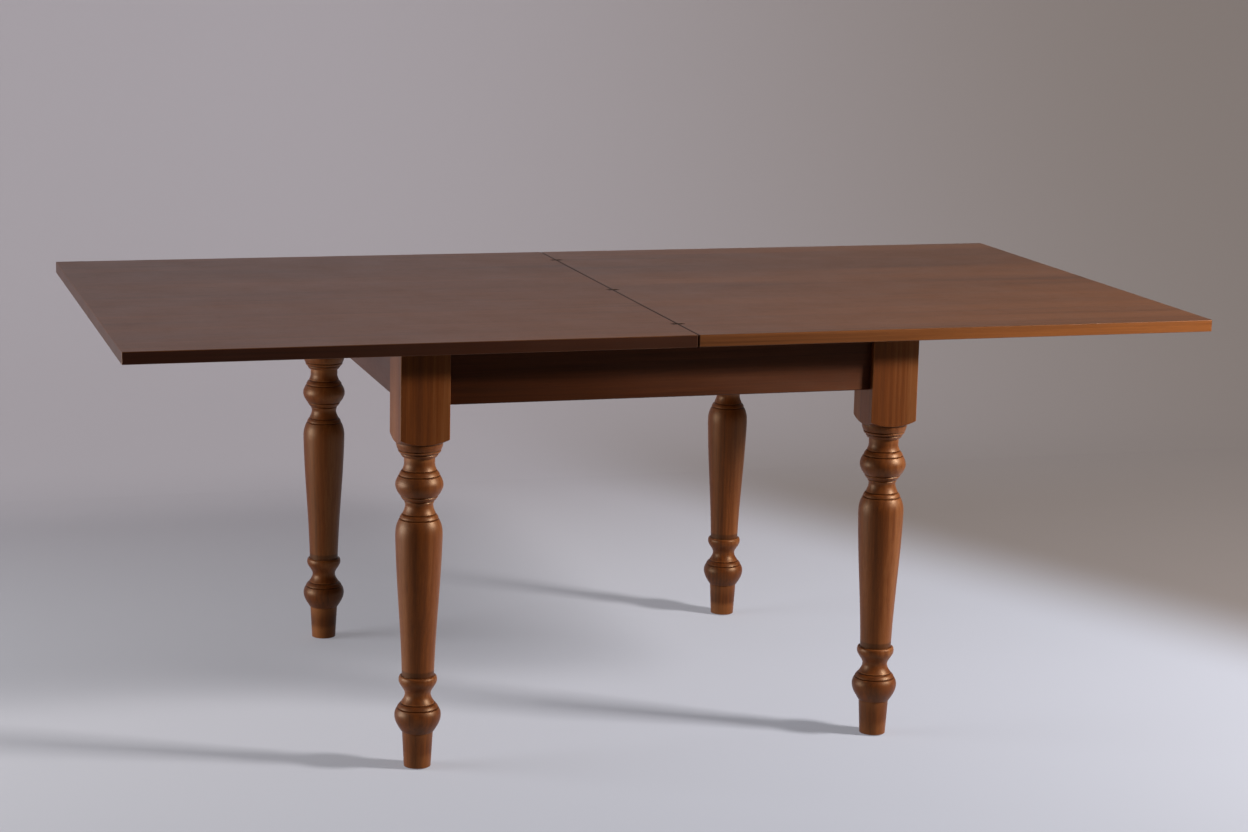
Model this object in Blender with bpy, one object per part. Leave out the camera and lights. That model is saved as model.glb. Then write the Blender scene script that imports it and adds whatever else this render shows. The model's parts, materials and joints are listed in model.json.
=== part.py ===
# Flip top dining table on turned legs, shown open.
# Origin: on the floor under the middle of the seam. +X runs to the flip leaf, +Y to the back, +Z up. Metres.
import math

import bmesh
import bpy
from mathutils import Matrix, Vector

# Top leaves
TABLE_HEIGHT = 0.780
LEAF_LENGTH = 1.000
LEAF_WIDTH = 1.050
LEAF_THICKNESS = 0.022
LEAF_ARRIS = 0.0022
LEAF_CHAMFER = 0.0010

# Link hinges in the seam
HINGE_INSET = 0.120
LINK_RADIUS = 0.0032
LINK_SINK = 0.0008
LINK_THICKNESS = 0.0050
LINK_PLAY = 0.0004
PIN_RADIUS = 0.00125
PIN_PLAY = 0.00015
PIN_INSET = 0.0005
CUP_CHEEK = 0.0030
CUP_FLOOR = 0.0016
CUP_BACK = 0.0048
CUP_SINK = 0.0003
FOLD_CLEARANCE = 0.00025

# Leg frame
FRAME_OFFSET = -0.042
END_OVERHANG = 0.021
SIDE_OVERHANG = 0.046
LEG_BLOCK = 0.088
LEG_BLOCK_LENGTH = 0.1653
APRON_HEIGHT = 0.096
APRON_THICKNESS = 0.022
APRON_SETBACK = 0.011
APRON_ARRIS = 0.0015
FELT_THICKNESS = 0.0016
FELT_WIDTH = 0.014

# Turned leg, from the foot up: rises and diameters, and how far each S-curve leans to its upper end
FOOT_HEIGHT = 0.0642
FOOT_DIAMETER = 0.0478
ANKLE_DIAMETER = 0.0548
LOWER_BALL_START = 0.0580
LOWER_BALL_RISE = 0.0298
LOWER_BALL_DIAMETER = 0.0828
LOWER_NECK_RISE = 0.0390
LOWER_NECK_BEND = 1.05
LOWER_NECK_DIAMETER = 0.0460
RING_RISE = 0.0258
RING_BEND = 1.0
RING_DIAMETER = 0.0684
RING_ROUND = 0.0076
RING_END = 0.0620
COLUMN_FOOT_DIAMETER = 0.0570
COLUMN_DIAMETER = 0.0832
SHOULDER_RISE = 0.0572
SHOULDER_BEND = 1.44
NECK_DIAMETER = 0.0492
UPPER_BALL_RISE = 0.0365
UPPER_BALL_BEND = 0.88
UPPER_BALL_DIAMETER = 0.0842
TOP_NECK_RISE = 0.0395
TOP_NECK_BEND = 1.0
TOP_NECK_DIAMETER = 0.0546
CAPITAL_RISE = 0.0365
CAPITAL_BEND = 1.0
CAPITAL_DIAMETER = 0.0828
BLOCK_SHOULDER_RISE = 0.0165
BLOCK_SHOULDER_MARGIN = 0.004

# Fine lines cut in pairs round the S-curves, placed as shares of each curve's rise
LINE_WIDTH = 0.0030
LINE_DEPTH = 0.0012
LOWER_NECK_LINES = (0.35, 0.56)
SHOULDER_LINES = (0.52, 0.68)
UPPER_BALL_LINES = (0.20, 0.46)
TOP_NECK_LINES = (0.32, 0.63)
CAPITAL_LINES = (0.33, 0.54)

# Foot glides
GLIDE_DIAMETER = 0.032
GLIDE_HEIGHT = 0.006
GLIDE_PROUD = 0.002
GLIDE_ROUND = 0.001

# Corner blocks and the bolts that hold the legs
CORNER_BLOCK_THICKNESS = 0.032
CORNER_BLOCK_HEIGHT = 0.070
CORNER_BLOCK_STANDOFF = 0.0015
BOLT_RADIUS = 0.004
BOLT_BITE = 0.045
BOLT_TAIL = 0.006
BOLT_POINT = 0.001
NUT_FLATS = 0.013
NUT_HEIGHT = 0.009
NUT_FLANGE_RADIUS = 0.0088
NUT_FLANGE_HEIGHT = 0.0025
BOLT_PLAY = 0.0003

# Slide rails on the frame, runners and screws under the sliding leaf
RAIL_SPACING = 0.340
RAIL_WIDTH = 0.028
RAIL_HEIGHT = 0.045
RAIL_DROP = 0.002
RAIL_HOUSING = 0.008
GROOVE_WIDTH = 0.012
GROOVE_DEPTH = 0.010
GROOVE_PLAY = 0.0005
RUNNER_WIDTH = 0.030
RUNNER_HEIGHT = 0.040
SCREW_SPACING = 0.280
SCREW_RADIUS = 0.002
SCREW_HEAD_RADIUS = 0.004
SCREW_HEAD_HEIGHT = 0.003
SCREW_POINT = 0.005
SCREW_SINK = 0.004
SCREW_BITE = 0.012
BUMPER_RADIUS = 0.009
BUMPER_TIP_RADIUS = 0.007
BUMPER_HEIGHT = 0.006

# Gap kept between pieces that touch
SEAT_GAP = 0.0003

# Facets of round shapes
LEG_SIDES = 16
ROUND_SIDES = 12
PIN_SIDES = 12
OGEE_STEPS = 6
SWELL_STEPS = 4
ROUND_STEPS = 3
COLUMN_STEPS = 4
ARRIS_STEPS = 3
SMOOTH_ANGLE = math.radians(35)

# Points closer than this are one point
SAME_POINT = 1e-6

# Levels and places that follow from the sizes above
UNDERSIDE = TABLE_HEIGHT - LEAF_THICKNESS
HINGE_SPREAD = LEAF_WIDTH / 2 - HINGE_INSET
FRAME_TOP = UNDERSIDE - FELT_THICKNESS - 2 * SEAT_GAP
LEG_SPACING_X = LEAF_LENGTH - 2 * END_OVERHANG - LEG_BLOCK
LEG_SPACING_Y = LEAF_WIDTH - 2 * SIDE_OVERHANG - LEG_BLOCK
APRON_MIDDLE = FRAME_TOP - APRON_HEIGHT / 2
APRON_OUTER = LEG_BLOCK / 2 - APRON_SETBACK
APRON_INNER = APRON_OUTER - APRON_THICKNESS
PIVOT_DEPTH = LINK_RADIUS + LINK_SINK
HALF_SEAM = math.sqrt(2) * (PIVOT_DEPTH - LEAF_ARRIS) + LEAF_ARRIS + FOLD_CLEARANCE - PIVOT_DEPTH
PIVOT_SETBACK = PIVOT_DEPTH + HALF_SEAM
PIVOT_HEIGHT = TABLE_HEIGHT - PIVOT_DEPTH
SLOT_RADIUS = LINK_RADIUS + LINK_PLAY
CUP_WIDTH = LINK_THICKNESS + 2 * (LINK_PLAY + CUP_CHEEK)
CUP_END = PIVOT_SETBACK + SLOT_RADIUS + CUP_BACK
CUP_BOTTOM = PIVOT_HEIGHT - SLOT_RADIUS - CUP_FLOOR
SLIDE_TRAVEL = HALF_SEAM + LEAF_LENGTH / 2 + FRAME_OFFSET
FRAME_BAY = LEG_SPACING_X + 2 * APRON_INNER
STOP_DEPTH = SEAT_GAP + BUMPER_HEIGHT + SEAT_GAP
RUNNER_LENGTH = FRAME_BAY - 2 * STOP_DEPTH - SLIDE_TRAVEL
RUNNER_MIDDLE = FRAME_OFFSET - FRAME_BAY / 2 + STOP_DEPTH + RUNNER_LENGTH / 2
RUNNER_TOP = UNDERSIDE - SEAT_GAP
RAIL_TOP = FRAME_TOP - RAIL_DROP
GROOVE_LEVEL = RAIL_TOP - RAIL_HEIGHT / 2
RUNNER_FACE = RAIL_SPACING / 2 - RAIL_WIDTH / 2 - GROOVE_PLAY
RUNNER_LINE = RUNNER_FACE - RUNNER_WIDTH / 2
SCREW_LENGTH = RUNNER_HEIGHT - SCREW_SINK + SEAT_GAP + SCREW_BITE
BLOCK_CORNER = LEG_BLOCK / math.sqrt(2)
CORNER_BLOCK_START = BLOCK_CORNER + CORNER_BLOCK_STANDOFF
CORNER_BLOCK_END = CORNER_BLOCK_START + CORNER_BLOCK_THICKNESS
DIAGONAL = Vector((1, 1, 0)).to_track_quat("Z", "Y").to_matrix().to_4x4()

# Names of the four legs, with the side of the frame they stand on and the turn of their inner corner
CORNERS = {
    "front_left": (-1, -1, 0.0),
    "front_right": (1, -1, 0.5 * math.pi),
    "back_right": (1, 1, math.pi),
    "back_left": (-1, 1, 1.5 * math.pi),
}
DEPTHS = {"front": -1, "back": 1}
SIDES = {"left": -1, "right": 1}
HINGES = {"front": -HINGE_SPREAD, "middle": 0.0, "back": HINGE_SPREAD}


class TurnedOutline:
    """Half-section of a turned piece, drawn upwards from its foot as radius and height."""

    def __init__(self, height):
        self.height = height
        self.points = [(0.0, height)]

    def add(self, radius, height):
        if math.dist((radius, height), self.points[-1]) > SAME_POINT:
            self.points.append((radius, height))

    def curve(self, rise, steps, shape):
        # shape gives the radius and the share of the rise for a place from 0 to 1 along the curve
        for step in range(steps + 1):
            radius, share = shape(step / steps)
            self.add(radius, self.height + rise * share)
        self.height += rise

    def taper(self, low_diameter, high_diameter, rise):
        low, high = low_diameter / 2, high_diameter / 2
        self.curve(rise, 1, lambda t: (low + (high - low) * t, t))

    def band(self, diameter, rise):
        self.taper(diameter, diameter, rise)

    def swell(self, low_diameter, high_diameter, rise):
        # sets off at a slope and comes upright at the higher point
        low, change = low_diameter / 2, (high_diameter - low_diameter) / 2
        self.curve(rise, SWELL_STEPS, lambda t: (low + change * math.sin(math.pi * t / 2), t))

    def round_over(self, low_diameter, high_diameter, rise):
        # leaves the lower diameter upright and comes level at the higher point
        low, change = low_diameter / 2, (high_diameter - low_diameter) / 2

        def shape(t):
            angle = t * math.pi / 2
            return low + change * (1 - math.cos(angle)), math.sin(angle)

        self.curve(rise, ROUND_STEPS, shape)

    def ogee(self, low_diameter, high_diameter, rise, bend, lines=()):
        # S-curve, upright at both ends, with V-shaped lines cut into it
        low, change = low_diameter / 2, (high_diameter - low_diameter) / 2
        half_line = LINE_WIDTH / 2 / rise
        places = [step / OGEE_STEPS for step in range(OGEE_STEPS + 1)]
        for line in lines:
            places = [t for t in places if abs(t - line) > 2 * half_line]
            places += [line - half_line, line, line + half_line]
        for t in sorted(places):
            radius = low + change * (1 - math.cos(math.pi * t**bend)) / 2
            depth = LINE_DEPTH if t in lines else 0.0
            self.add(radius - depth, self.height + rise * t)
        self.height += rise

    def column(self, low_diameter, high_diameter, rise):
        low, change = low_diameter / 2, (high_diameter - low_diameter) / 2

        def shape(t):
            return low + change * (t + (1 - math.cos(math.pi * t)) / 2) / 2, t

        self.curve(rise, COLUMN_STEPS, shape)

    def closed(self):
        return self.points + [(0.0, self.height)]


def mesh_from(bm, smooth=False):
    bmesh.ops.recalc_face_normals(bm, faces=bm.faces)
    mesh = bpy.data.meshes.new("piece")
    bm.to_mesh(mesh)
    bm.free()
    if smooth:
        smoothed(mesh)
    return mesh


def smoothed(mesh):
    mesh.shade_smooth()
    mesh.set_sharp_from_angle(angle=SMOOTH_ANGLE)
    return mesh


def moved(mesh, x=0.0, y=0.0, z=0.0):
    mesh.transform(Matrix.Translation((x, y, z)))
    return mesh


def prism_bmesh(outline, low, high, plane):
    # plane names the two axes of the outline; the prism runs from low to high along the third
    spots = {
        "XY": lambda a, b, c: (a, b, c),
        "XZ": lambda a, b, c: (a, c, b),
        "YZ": lambda a, b, c: (c, a, b),
    }
    spot = spots[plane]
    bm = bmesh.new()
    rings = [[bm.verts.new(spot(a, b, c)) for a, b in outline] for c in (low, high)]
    for ring in rings:
        bm.faces.new(ring)
    for i in range(len(outline)):
        bm.faces.new((rings[0][i - 1], rings[0][i], rings[1][i], rings[1][i - 1]))
    bmesh.ops.recalc_face_normals(bm, faces=bm.faces)
    return bm


def prism(outline, low, high, plane, smooth=False):
    return mesh_from(prism_bmesh(outline, low, high, plane), smooth)


def rectangle(low_a, high_a, low_b, high_b):
    return [(low_a, low_b), (high_a, low_b), (high_a, high_b), (low_a, high_b)]


def box(low, high):
    return prism(rectangle(low[0], high[0], low[1], high[1]), low[2], high[2], "XY")


def arc(centre_a, centre_b, radius, start, end, steps):
    angles = [math.radians(start + (end - start) * i / steps) for i in range(steps + 1)]
    return [(centre_a + radius * math.cos(t), centre_b + radius * math.sin(t)) for t in angles]


def turned(points, sides):
    # revolves a half-section of radius and height about the Z axis
    bm = bmesh.new()
    verts = [bm.verts.new((radius, 0, height)) for radius, height in points]
    edges = [bm.edges.new(pair) for pair in zip(verts, verts[1:])]
    bmesh.ops.spin(bm, geom=verts + edges, axis=(0, 0, 1), angle=2 * math.pi, steps=sides, use_merge=True)
    bmesh.ops.remove_doubles(bm, verts=bm.verts, dist=SAME_POINT)
    return mesh_from(bm, smooth=True)


def rod(radius, low, high, sides):
    return turned([(0, low), (radius, low), (radius, high), (0, high)], sides)


def rod_along_y(radius, x, z, half_length):
    mesh = rod(radius, -half_length, half_length, PIN_SIDES)
    mesh.transform(Matrix.Rotation(math.pi / 2, 4, "X"))
    return moved(mesh, x=x, z=z)


def as_object(mesh, name):
    obj = bpy.data.objects.new(name, mesh)
    bpy.context.collection.objects.link(obj)
    return obj


def joined(body, others, operation):
    # applies one Boolean for each other mesh and returns the result as a plain mesh
    worked = as_object(body, "worked")
    helpers = [as_object(other, "helper") for other in others]
    for helper in helpers:
        step = worked.modifiers.new(operation.lower(), "BOOLEAN")
        step.operation = operation
        step.solver = "EXACT"
        step.object = helper
    graph = bpy.context.evaluated_depsgraph_get()
    result = bpy.data.meshes.new_from_object(worked.evaluated_get(graph))
    for obj in [worked, *helpers]:
        bpy.data.objects.remove(obj)
    return smoothed(result)


def cut(body, cutters):
    return joined(body, cutters, "DIFFERENCE")


def material(name, colour, roughness, metallic=0.0):
    made = bpy.data.materials.new(name)
    made.use_nodes = True
    shader = made.node_tree.nodes["Principled BSDF"]
    shader.inputs["Base Color"].default_value = (*colour, 1.0)
    shader.inputs["Roughness"].default_value = roughness
    shader.inputs["Metallic"].default_value = metallic
    return made


def world_place(obj):
    place = Vector()
    while obj:
        place += obj.location
        obj = obj.parent
    return place


def axis_empty(name, place, parent):
    empty = as_object(None, name)
    empty.empty_display_size = 0.05
    empty.parent = parent
    empty.location = Vector(place) - world_place(parent)
    return empty


def add_piece(name, mesh, finish, parent, place=(0.0, 0.0, 0.0), turn=0.0):
    obj = as_object(mesh, name)
    if not mesh.materials:
        mesh.materials.append(finish)
    obj.parent = parent
    obj.location = Vector(place) - world_place(parent)
    obj.rotation_euler.z = turn
    return obj


def bevel_edges(bm, edges, width, steps):
    bmesh.ops.bevel(
        bm,
        geom=list(edges),
        offset=width,
        offset_type="OFFSET",
        segments=steps,
        profile=0.5,
        affect="EDGES",
        clamp_overlap=True,
    )


def level_edges(bm, height):
    return [edge for edge in bm.edges if all(abs(vert.co.z - height) < SAME_POINT for vert in edge.verts)]


# Hinge parts are drawn on the +X side of the seam, with the seam at x = 0
def cup_outline(gap):
    half = CUP_WIDTH / 2 + gap
    start = HALF_SEAM
    bow = arc(CUP_END - CUP_WIDTH / 2, 0.0, half, -90, 90, ROUND_SIDES // 2)
    return [(start, -half), *bow, (start, half)]


def cup_mesh():
    top = TABLE_HEIGHT - CUP_SINK
    bm = prism_bmesh(cup_outline(0.0), CUP_BOTTOM, top, "XY")
    front = [
        edge
        for edge in level_edges(bm, top)
        if all(abs(vert.co.x - HALF_SEAM) < SAME_POINT for vert in edge.verts)
    ]
    bevel_edges(bm, front, LEAF_ARRIS, ARRIS_STEPS)
    slot = [
        (-HALF_SEAM, PIVOT_HEIGHT - SLOT_RADIUS),
        *arc(PIVOT_SETBACK, PIVOT_HEIGHT, SLOT_RADIUS, -90, 0, ROUND_SIDES // 4),
        (PIVOT_SETBACK + SLOT_RADIUS, TABLE_HEIGHT + LEAF_THICKNESS),
        (-HALF_SEAM, TABLE_HEIGHT + LEAF_THICKNESS),
    ]
    half_slot = LINK_THICKNESS / 2 + LINK_PLAY
    cutters = [
        prism(slot, -half_slot, half_slot, "XZ"),
        rod_along_y(PIN_RADIUS + PIN_PLAY, PIVOT_SETBACK, PIVOT_HEIGHT, CUP_WIDTH),
    ]
    return cut(mesh_from(bm), cutters)


def pin_mesh():
    return rod_along_y(PIN_RADIUS, PIVOT_SETBACK, PIVOT_HEIGHT, CUP_WIDTH / 2 - PIN_INSET)


def link_mesh():
    right = arc(PIVOT_SETBACK, PIVOT_HEIGHT, LINK_RADIUS, -90, 90, ROUND_SIDES // 2)
    left = arc(-PIVOT_SETBACK, PIVOT_HEIGHT, LINK_RADIUS, 90, 270, ROUND_SIDES // 2)
    plate = prism(right + left, -LINK_THICKNESS / 2, LINK_THICKNESS / 2, "XZ")
    eyes = [
        rod_along_y(PIN_RADIUS + PIN_PLAY, side * PIVOT_SETBACK, PIVOT_HEIGHT, LINK_THICKNESS)
        for side in SIDES.values()
    ]
    return cut(plate, eyes)


def leaf_mesh(screw_places):
    bm = prism_bmesh(
        rectangle(HALF_SEAM, HALF_SEAM + LEAF_LENGTH, -LEAF_WIDTH / 2, LEAF_WIDTH / 2),
        UNDERSIDE,
        TABLE_HEIGHT,
        "XY",
    )
    bevel_edges(bm, level_edges(bm, TABLE_HEIGHT), LEAF_ARRIS, ARRIS_STEPS)
    bevel_edges(bm, level_edges(bm, UNDERSIDE), LEAF_CHAMFER, 1)
    pocket = cup_outline(SEAT_GAP)
    pocket[0] = (-HALF_SEAM, pocket[0][1])
    pocket[-1] = (-HALF_SEAM, pocket[-1][1])
    cutters = [
        moved(prism(pocket, CUP_BOTTOM - SEAT_GAP, TABLE_HEIGHT + LEAF_THICKNESS, "XY"), y=y)
        for y in HINGES.values()
    ]
    for x, y in screw_places:
        top = RUNNER_TOP - RUNNER_HEIGHT + SCREW_SINK + SCREW_LENGTH + SEAT_GAP
        pilot = rod(SCREW_RADIUS + SEAT_GAP, UNDERSIDE - SCREW_BITE, top, PIN_SIDES)
        cutters.append(moved(pilot, x=x, y=y))
    return cut(mesh_from(bm), cutters)


def leg_outline():
    line = TurnedOutline(GLIDE_PROUD)
    line.taper(FOOT_DIAMETER, ANKLE_DIAMETER, FOOT_HEIGHT)
    line.swell(LOWER_BALL_START, LOWER_BALL_DIAMETER, LOWER_BALL_RISE)
    line.ogee(LOWER_BALL_DIAMETER, LOWER_NECK_DIAMETER, LOWER_NECK_RISE, LOWER_NECK_BEND, LOWER_NECK_LINES)
    line.ogee(LOWER_NECK_DIAMETER, RING_DIAMETER, RING_RISE, RING_BEND)
    line.round_over(RING_DIAMETER, RING_END, RING_ROUND)
    block_foot = FRAME_TOP - LEG_BLOCK_LENGTH
    column_top = block_foot - SHOULDER_RISE - UPPER_BALL_RISE - TOP_NECK_RISE - CAPITAL_RISE
    line.column(COLUMN_FOOT_DIAMETER, COLUMN_DIAMETER, column_top - line.height)
    line.ogee(COLUMN_DIAMETER, NECK_DIAMETER, SHOULDER_RISE, SHOULDER_BEND, SHOULDER_LINES)
    line.ogee(NECK_DIAMETER, UPPER_BALL_DIAMETER, UPPER_BALL_RISE, UPPER_BALL_BEND, UPPER_BALL_LINES)
    line.ogee(UPPER_BALL_DIAMETER, TOP_NECK_DIAMETER, TOP_NECK_RISE, TOP_NECK_BEND, TOP_NECK_LINES)
    line.ogee(TOP_NECK_DIAMETER, CAPITAL_DIAMETER, CAPITAL_RISE, CAPITAL_BEND, CAPITAL_LINES)
    # the shoulder and the wide drum above it leave the square of the block standing
    drum_diameter = (2 * BLOCK_CORNER + BLOCK_SHOULDER_MARGIN) / math.cos(math.pi / LEG_SIDES)
    line.swell(CAPITAL_DIAMETER, drum_diameter, BLOCK_SHOULDER_RISE)
    line.band(drum_diameter, LEG_BLOCK_LENGTH)
    return line.closed()


def diagonal_rod(radius, low, high):
    # level rod from the leg's axis towards its inner corner, at the middle height of the aprons
    mesh = rod(radius, low, high, ROUND_SIDES)
    mesh.transform(Matrix.Translation((0, 0, APRON_MIDDLE)) @ DIAGONAL)
    return mesh


def leg_mesh():
    half = LEG_BLOCK / 2
    blank = box((-half, -half, 0.0), (half, half, FRAME_TOP))
    shaped = joined(blank, [turned(leg_outline(), LEG_SIDES)], "INTERSECT")
    recess_top = GLIDE_HEIGHT + SEAT_GAP
    cutters = [
        rod(GLIDE_DIAMETER / 2 + SEAT_GAP, -GLIDE_HEIGHT, recess_top, ROUND_SIDES),
        diagonal_rod(BOLT_RADIUS + BOLT_PLAY, BLOCK_CORNER - BOLT_BITE - SEAT_GAP, BLOCK_CORNER + BOLT_BITE),
    ]
    return cut(shaped, cutters)


def glide_mesh():
    radius = GLIDE_DIAMETER / 2
    outline = [
        (0, 0),
        (radius - GLIDE_ROUND, 0),
        (radius, GLIDE_ROUND),
        (radius, GLIDE_HEIGHT),
        (0, GLIDE_HEIGHT),
    ]
    return turned(outline, ROUND_SIDES)


def corner_block_mesh():
    reach = APRON_INNER - SEAT_GAP
    near, far = (start * math.sqrt(2) + reach for start in (CORNER_BLOCK_START, CORNER_BLOCK_END))
    outline = [(near, -reach), (far, -reach), (-reach, far), (-reach, near)]
    half = CORNER_BLOCK_HEIGHT / 2
    block = prism(outline, APRON_MIDDLE - half, APRON_MIDDLE + half, "XY")
    hole = diagonal_rod(BOLT_RADIUS + BOLT_PLAY, BLOCK_CORNER, CORNER_BLOCK_END + CORNER_BLOCK_THICKNESS)
    return cut(block, [hole])


def bolt_mesh():
    low = BLOCK_CORNER - BOLT_BITE
    high = CORNER_BLOCK_END + SEAT_GAP + NUT_HEIGHT + BOLT_TAIL
    narrow = BOLT_RADIUS - BOLT_POINT
    outline = [
        (0, low),
        (narrow, low),
        (BOLT_RADIUS, low + BOLT_POINT),
        (BOLT_RADIUS, high - BOLT_POINT),
        (narrow, high),
        (0, high),
    ]
    mesh = turned(outline, ROUND_SIDES)
    mesh.transform(Matrix.Translation((0, 0, APRON_MIDDLE)) @ DIAGONAL)
    return mesh


def nut_mesh():
    low = CORNER_BLOCK_END + SEAT_GAP
    corner = NUT_FLATS / math.sqrt(3)
    hexagon = arc(0.0, 0.0, corner, 0, 300, 5)
    body = prism(hexagon, low + NUT_FLANGE_HEIGHT / 2, low + NUT_HEIGHT, "XY")
    flange = rod(NUT_FLANGE_RADIUS, low, low + NUT_FLANGE_HEIGHT, ROUND_SIDES)
    whole = joined(flange, [body], "UNION")
    bore = rod(BOLT_RADIUS + BOLT_PLAY, low - NUT_HEIGHT, low + 2 * NUT_HEIGHT, ROUND_SIDES)
    mesh = cut(whole, [bore])
    mesh.transform(Matrix.Translation((0, 0, APRON_MIDDLE)) @ DIAGONAL)
    return mesh


def apron_mesh(length, housings):
    # drawn along X with its outer face towards -Y; housings are places along X for the ends of the rails
    low, high = FRAME_TOP - APRON_HEIGHT, FRAME_TOP
    bm = prism_bmesh(rectangle(0.0, APRON_THICKNESS, low, high), -length / 2, length / 2, "YZ")
    lower = [
        edge
        for edge in level_edges(bm, low)
        if abs(edge.verts[0].co.y - edge.verts[1].co.y) < SAME_POINT
    ]
    bevel_edges(bm, lower, APRON_ARRIS, 2)
    body = mesh_from(bm)
    if not housings:
        return smoothed(body)
    half = RAIL_WIDTH / 2 + SEAT_GAP
    floor = APRON_THICKNESS - RAIL_HOUSING - SEAT_GAP
    pockets = [
        box(
            (place - half, floor, RAIL_TOP - RAIL_HEIGHT - SEAT_GAP),
            (place + half, 2 * APRON_THICKNESS, FRAME_TOP + RAIL_HEIGHT),
        )
        for place in housings
    ]
    return cut(body, pockets)


def felt_mesh(length):
    half = FELT_WIDTH / 2
    low = FRAME_TOP + SEAT_GAP
    return box((-length / 2, -half, low), (length / 2, half, low + FELT_THICKNESS))


def rail_mesh(inward):
    # grooved bar along X; inward is the Y direction that the groove faces
    half, floor = RAIL_WIDTH / 2, RAIL_WIDTH / 2 - GROOVE_DEPTH
    low, high = RAIL_TOP - RAIL_HEIGHT, RAIL_TOP
    groove_low, groove_high = GROOVE_LEVEL - GROOVE_WIDTH / 2, GROOVE_LEVEL + GROOVE_WIDTH / 2
    section = [
        (-half, low),
        (half, low),
        (half, groove_low),
        (floor, groove_low),
        (floor, groove_high),
        (half, groove_high),
        (half, high),
        (-half, high),
    ]
    reach = FRAME_BAY / 2 + RAIL_HOUSING
    return prism([(inward * a, b) for a, b in section], -reach, reach, "YZ")


def screw_outline(gap):
    # wood screw standing on its head, pointing up
    shank, head = SCREW_RADIUS + gap, SCREW_HEAD_RADIUS + gap
    tip = [(shank, SCREW_LENGTH - SCREW_POINT), (0, SCREW_LENGTH)]
    return [(0, 0), (head, 0), (shank, SCREW_HEAD_HEIGHT + gap), *tip]


def runner_mesh(outward):
    # bar along X under the leaf; its tongue reaches outward into the groove of the rail
    half = RUNNER_WIDTH / 2
    low, high = RUNNER_TOP - RUNNER_HEIGHT, RUNNER_TOP
    reach = half + GROOVE_DEPTH
    tongue_low = GROOVE_LEVEL - GROOVE_WIDTH / 2 + GROOVE_PLAY
    tongue_high = GROOVE_LEVEL + GROOVE_WIDTH / 2 - GROOVE_PLAY
    section = [
        (-half, low),
        (half, low),
        (half, tongue_low),
        (reach, tongue_low),
        (reach, tongue_high),
        (half, tongue_high),
        (half, high),
        (-half, high),
    ]
    body = prism([(outward * a, b) for a, b in section], -RUNNER_LENGTH / 2, RUNNER_LENGTH / 2, "YZ")
    cutters = []
    for side in SIDES.values():
        hole = turned(screw_outline(SEAT_GAP), PIN_SIDES)
        mouth = rod(SCREW_HEAD_RADIUS + SEAT_GAP, -2 * SCREW_SINK, SEAT_GAP, PIN_SIDES)
        for cutter in (hole, mouth):
            cutters.append(moved(cutter, x=side * SCREW_SPACING / 2, z=low + SCREW_SINK))
    return cut(body, cutters)


def bumper_mesh():
    # rubber stop that points along +X from its foot
    outline = [(0, 0), (BUMPER_RADIUS, 0), (BUMPER_TIP_RADIUS, BUMPER_HEIGHT), (0, BUMPER_HEIGHT)]
    mesh = turned(outline, ROUND_SIDES)
    mesh.transform(Matrix.Rotation(math.pi / 2, 4, "Y"))
    return mesh


def build_legs(parent, finishes):
    meshes = {
        "leg": (leg_mesh(), finishes["turned_wood"]),
        "glide": (glide_mesh(), finishes["glide"]),
        "corner_block": (corner_block_mesh(), finishes["frame_wood"]),
        "hanger_bolt": (bolt_mesh(), finishes["steel"]),
        "flange_nut": (nut_mesh(), finishes["steel"]),
    }
    for corner, (side, depth, turn) in CORNERS.items():
        place = (FRAME_OFFSET + side * LEG_SPACING_X / 2, depth * LEG_SPACING_Y / 2, 0.0)
        for kind, (mesh, finish) in meshes.items():
            add_piece(f"{kind}_{corner}", mesh, finish, parent, place, turn)


def build_aprons(parent, finishes):
    between = LEG_BLOCK + 2 * SEAT_GAP
    rail_places = [side * RAIL_SPACING / 2 for side in SIDES.values()]
    aprons = {
        "front": (LEG_SPACING_X - between, [], 0, -1, 0.0),
        "right": (LEG_SPACING_Y - between, rail_places, 1, 0, 0.5 * math.pi),
        "back": (LEG_SPACING_X - between, [], 0, 1, math.pi),
        "left": (LEG_SPACING_Y - between, rail_places, -1, 0, 1.5 * math.pi),
    }
    for name, (length, housings, side, depth, turn) in aprons.items():
        x = FRAME_OFFSET + side * LEG_SPACING_X / 2
        y = depth * LEG_SPACING_Y / 2
        outer = (x + side * APRON_OUTER, y + depth * APRON_OUTER, 0.0)
        middle = APRON_OUTER - APRON_THICKNESS / 2
        add_piece(f"apron_{name}", apron_mesh(length, housings), finishes["apron_wood"], parent, outer, turn)
        on_top = (x + side * middle, y + depth * middle, 0.0)
        add_piece(f"felt_strip_{name}", felt_mesh(length), finishes["felt"], parent, on_top, turn)


def build_slides(frame, sliding, finishes):
    for name, depth in DEPTHS.items():
        rail = (FRAME_OFFSET, depth * RAIL_SPACING / 2, 0.0)
        add_piece(f"slide_rail_{name}", rail_mesh(-depth), finishes["frame_wood"], frame, rail)
        y = depth * RUNNER_LINE
        runner = (RUNNER_MIDDLE, y, 0.0)
        add_piece(f"runner_{name}", runner_mesh(depth), finishes["frame_wood"], sliding, runner)
        for end, side in SIDES.items():
            screw = (RUNNER_MIDDLE + side * SCREW_SPACING / 2, y, RUNNER_TOP - RUNNER_HEIGHT + SCREW_SINK)
            mesh = turned(screw_outline(0.0), PIN_SIDES)
            add_piece(f"runner_screw_{name}_{end}", mesh, finishes["steel"], sliding, screw)
            foot = FRAME_OFFSET + side * (FRAME_BAY / 2 - SEAT_GAP)
            turn = math.pi if side > 0 else 0.0
            stop = (foot, y, RUNNER_TOP - RUNNER_HEIGHT / 2)
            add_piece(f"stop_bumper_{name}_{end}", bumper_mesh(), finishes["rubber"], frame, stop, turn)


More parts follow.
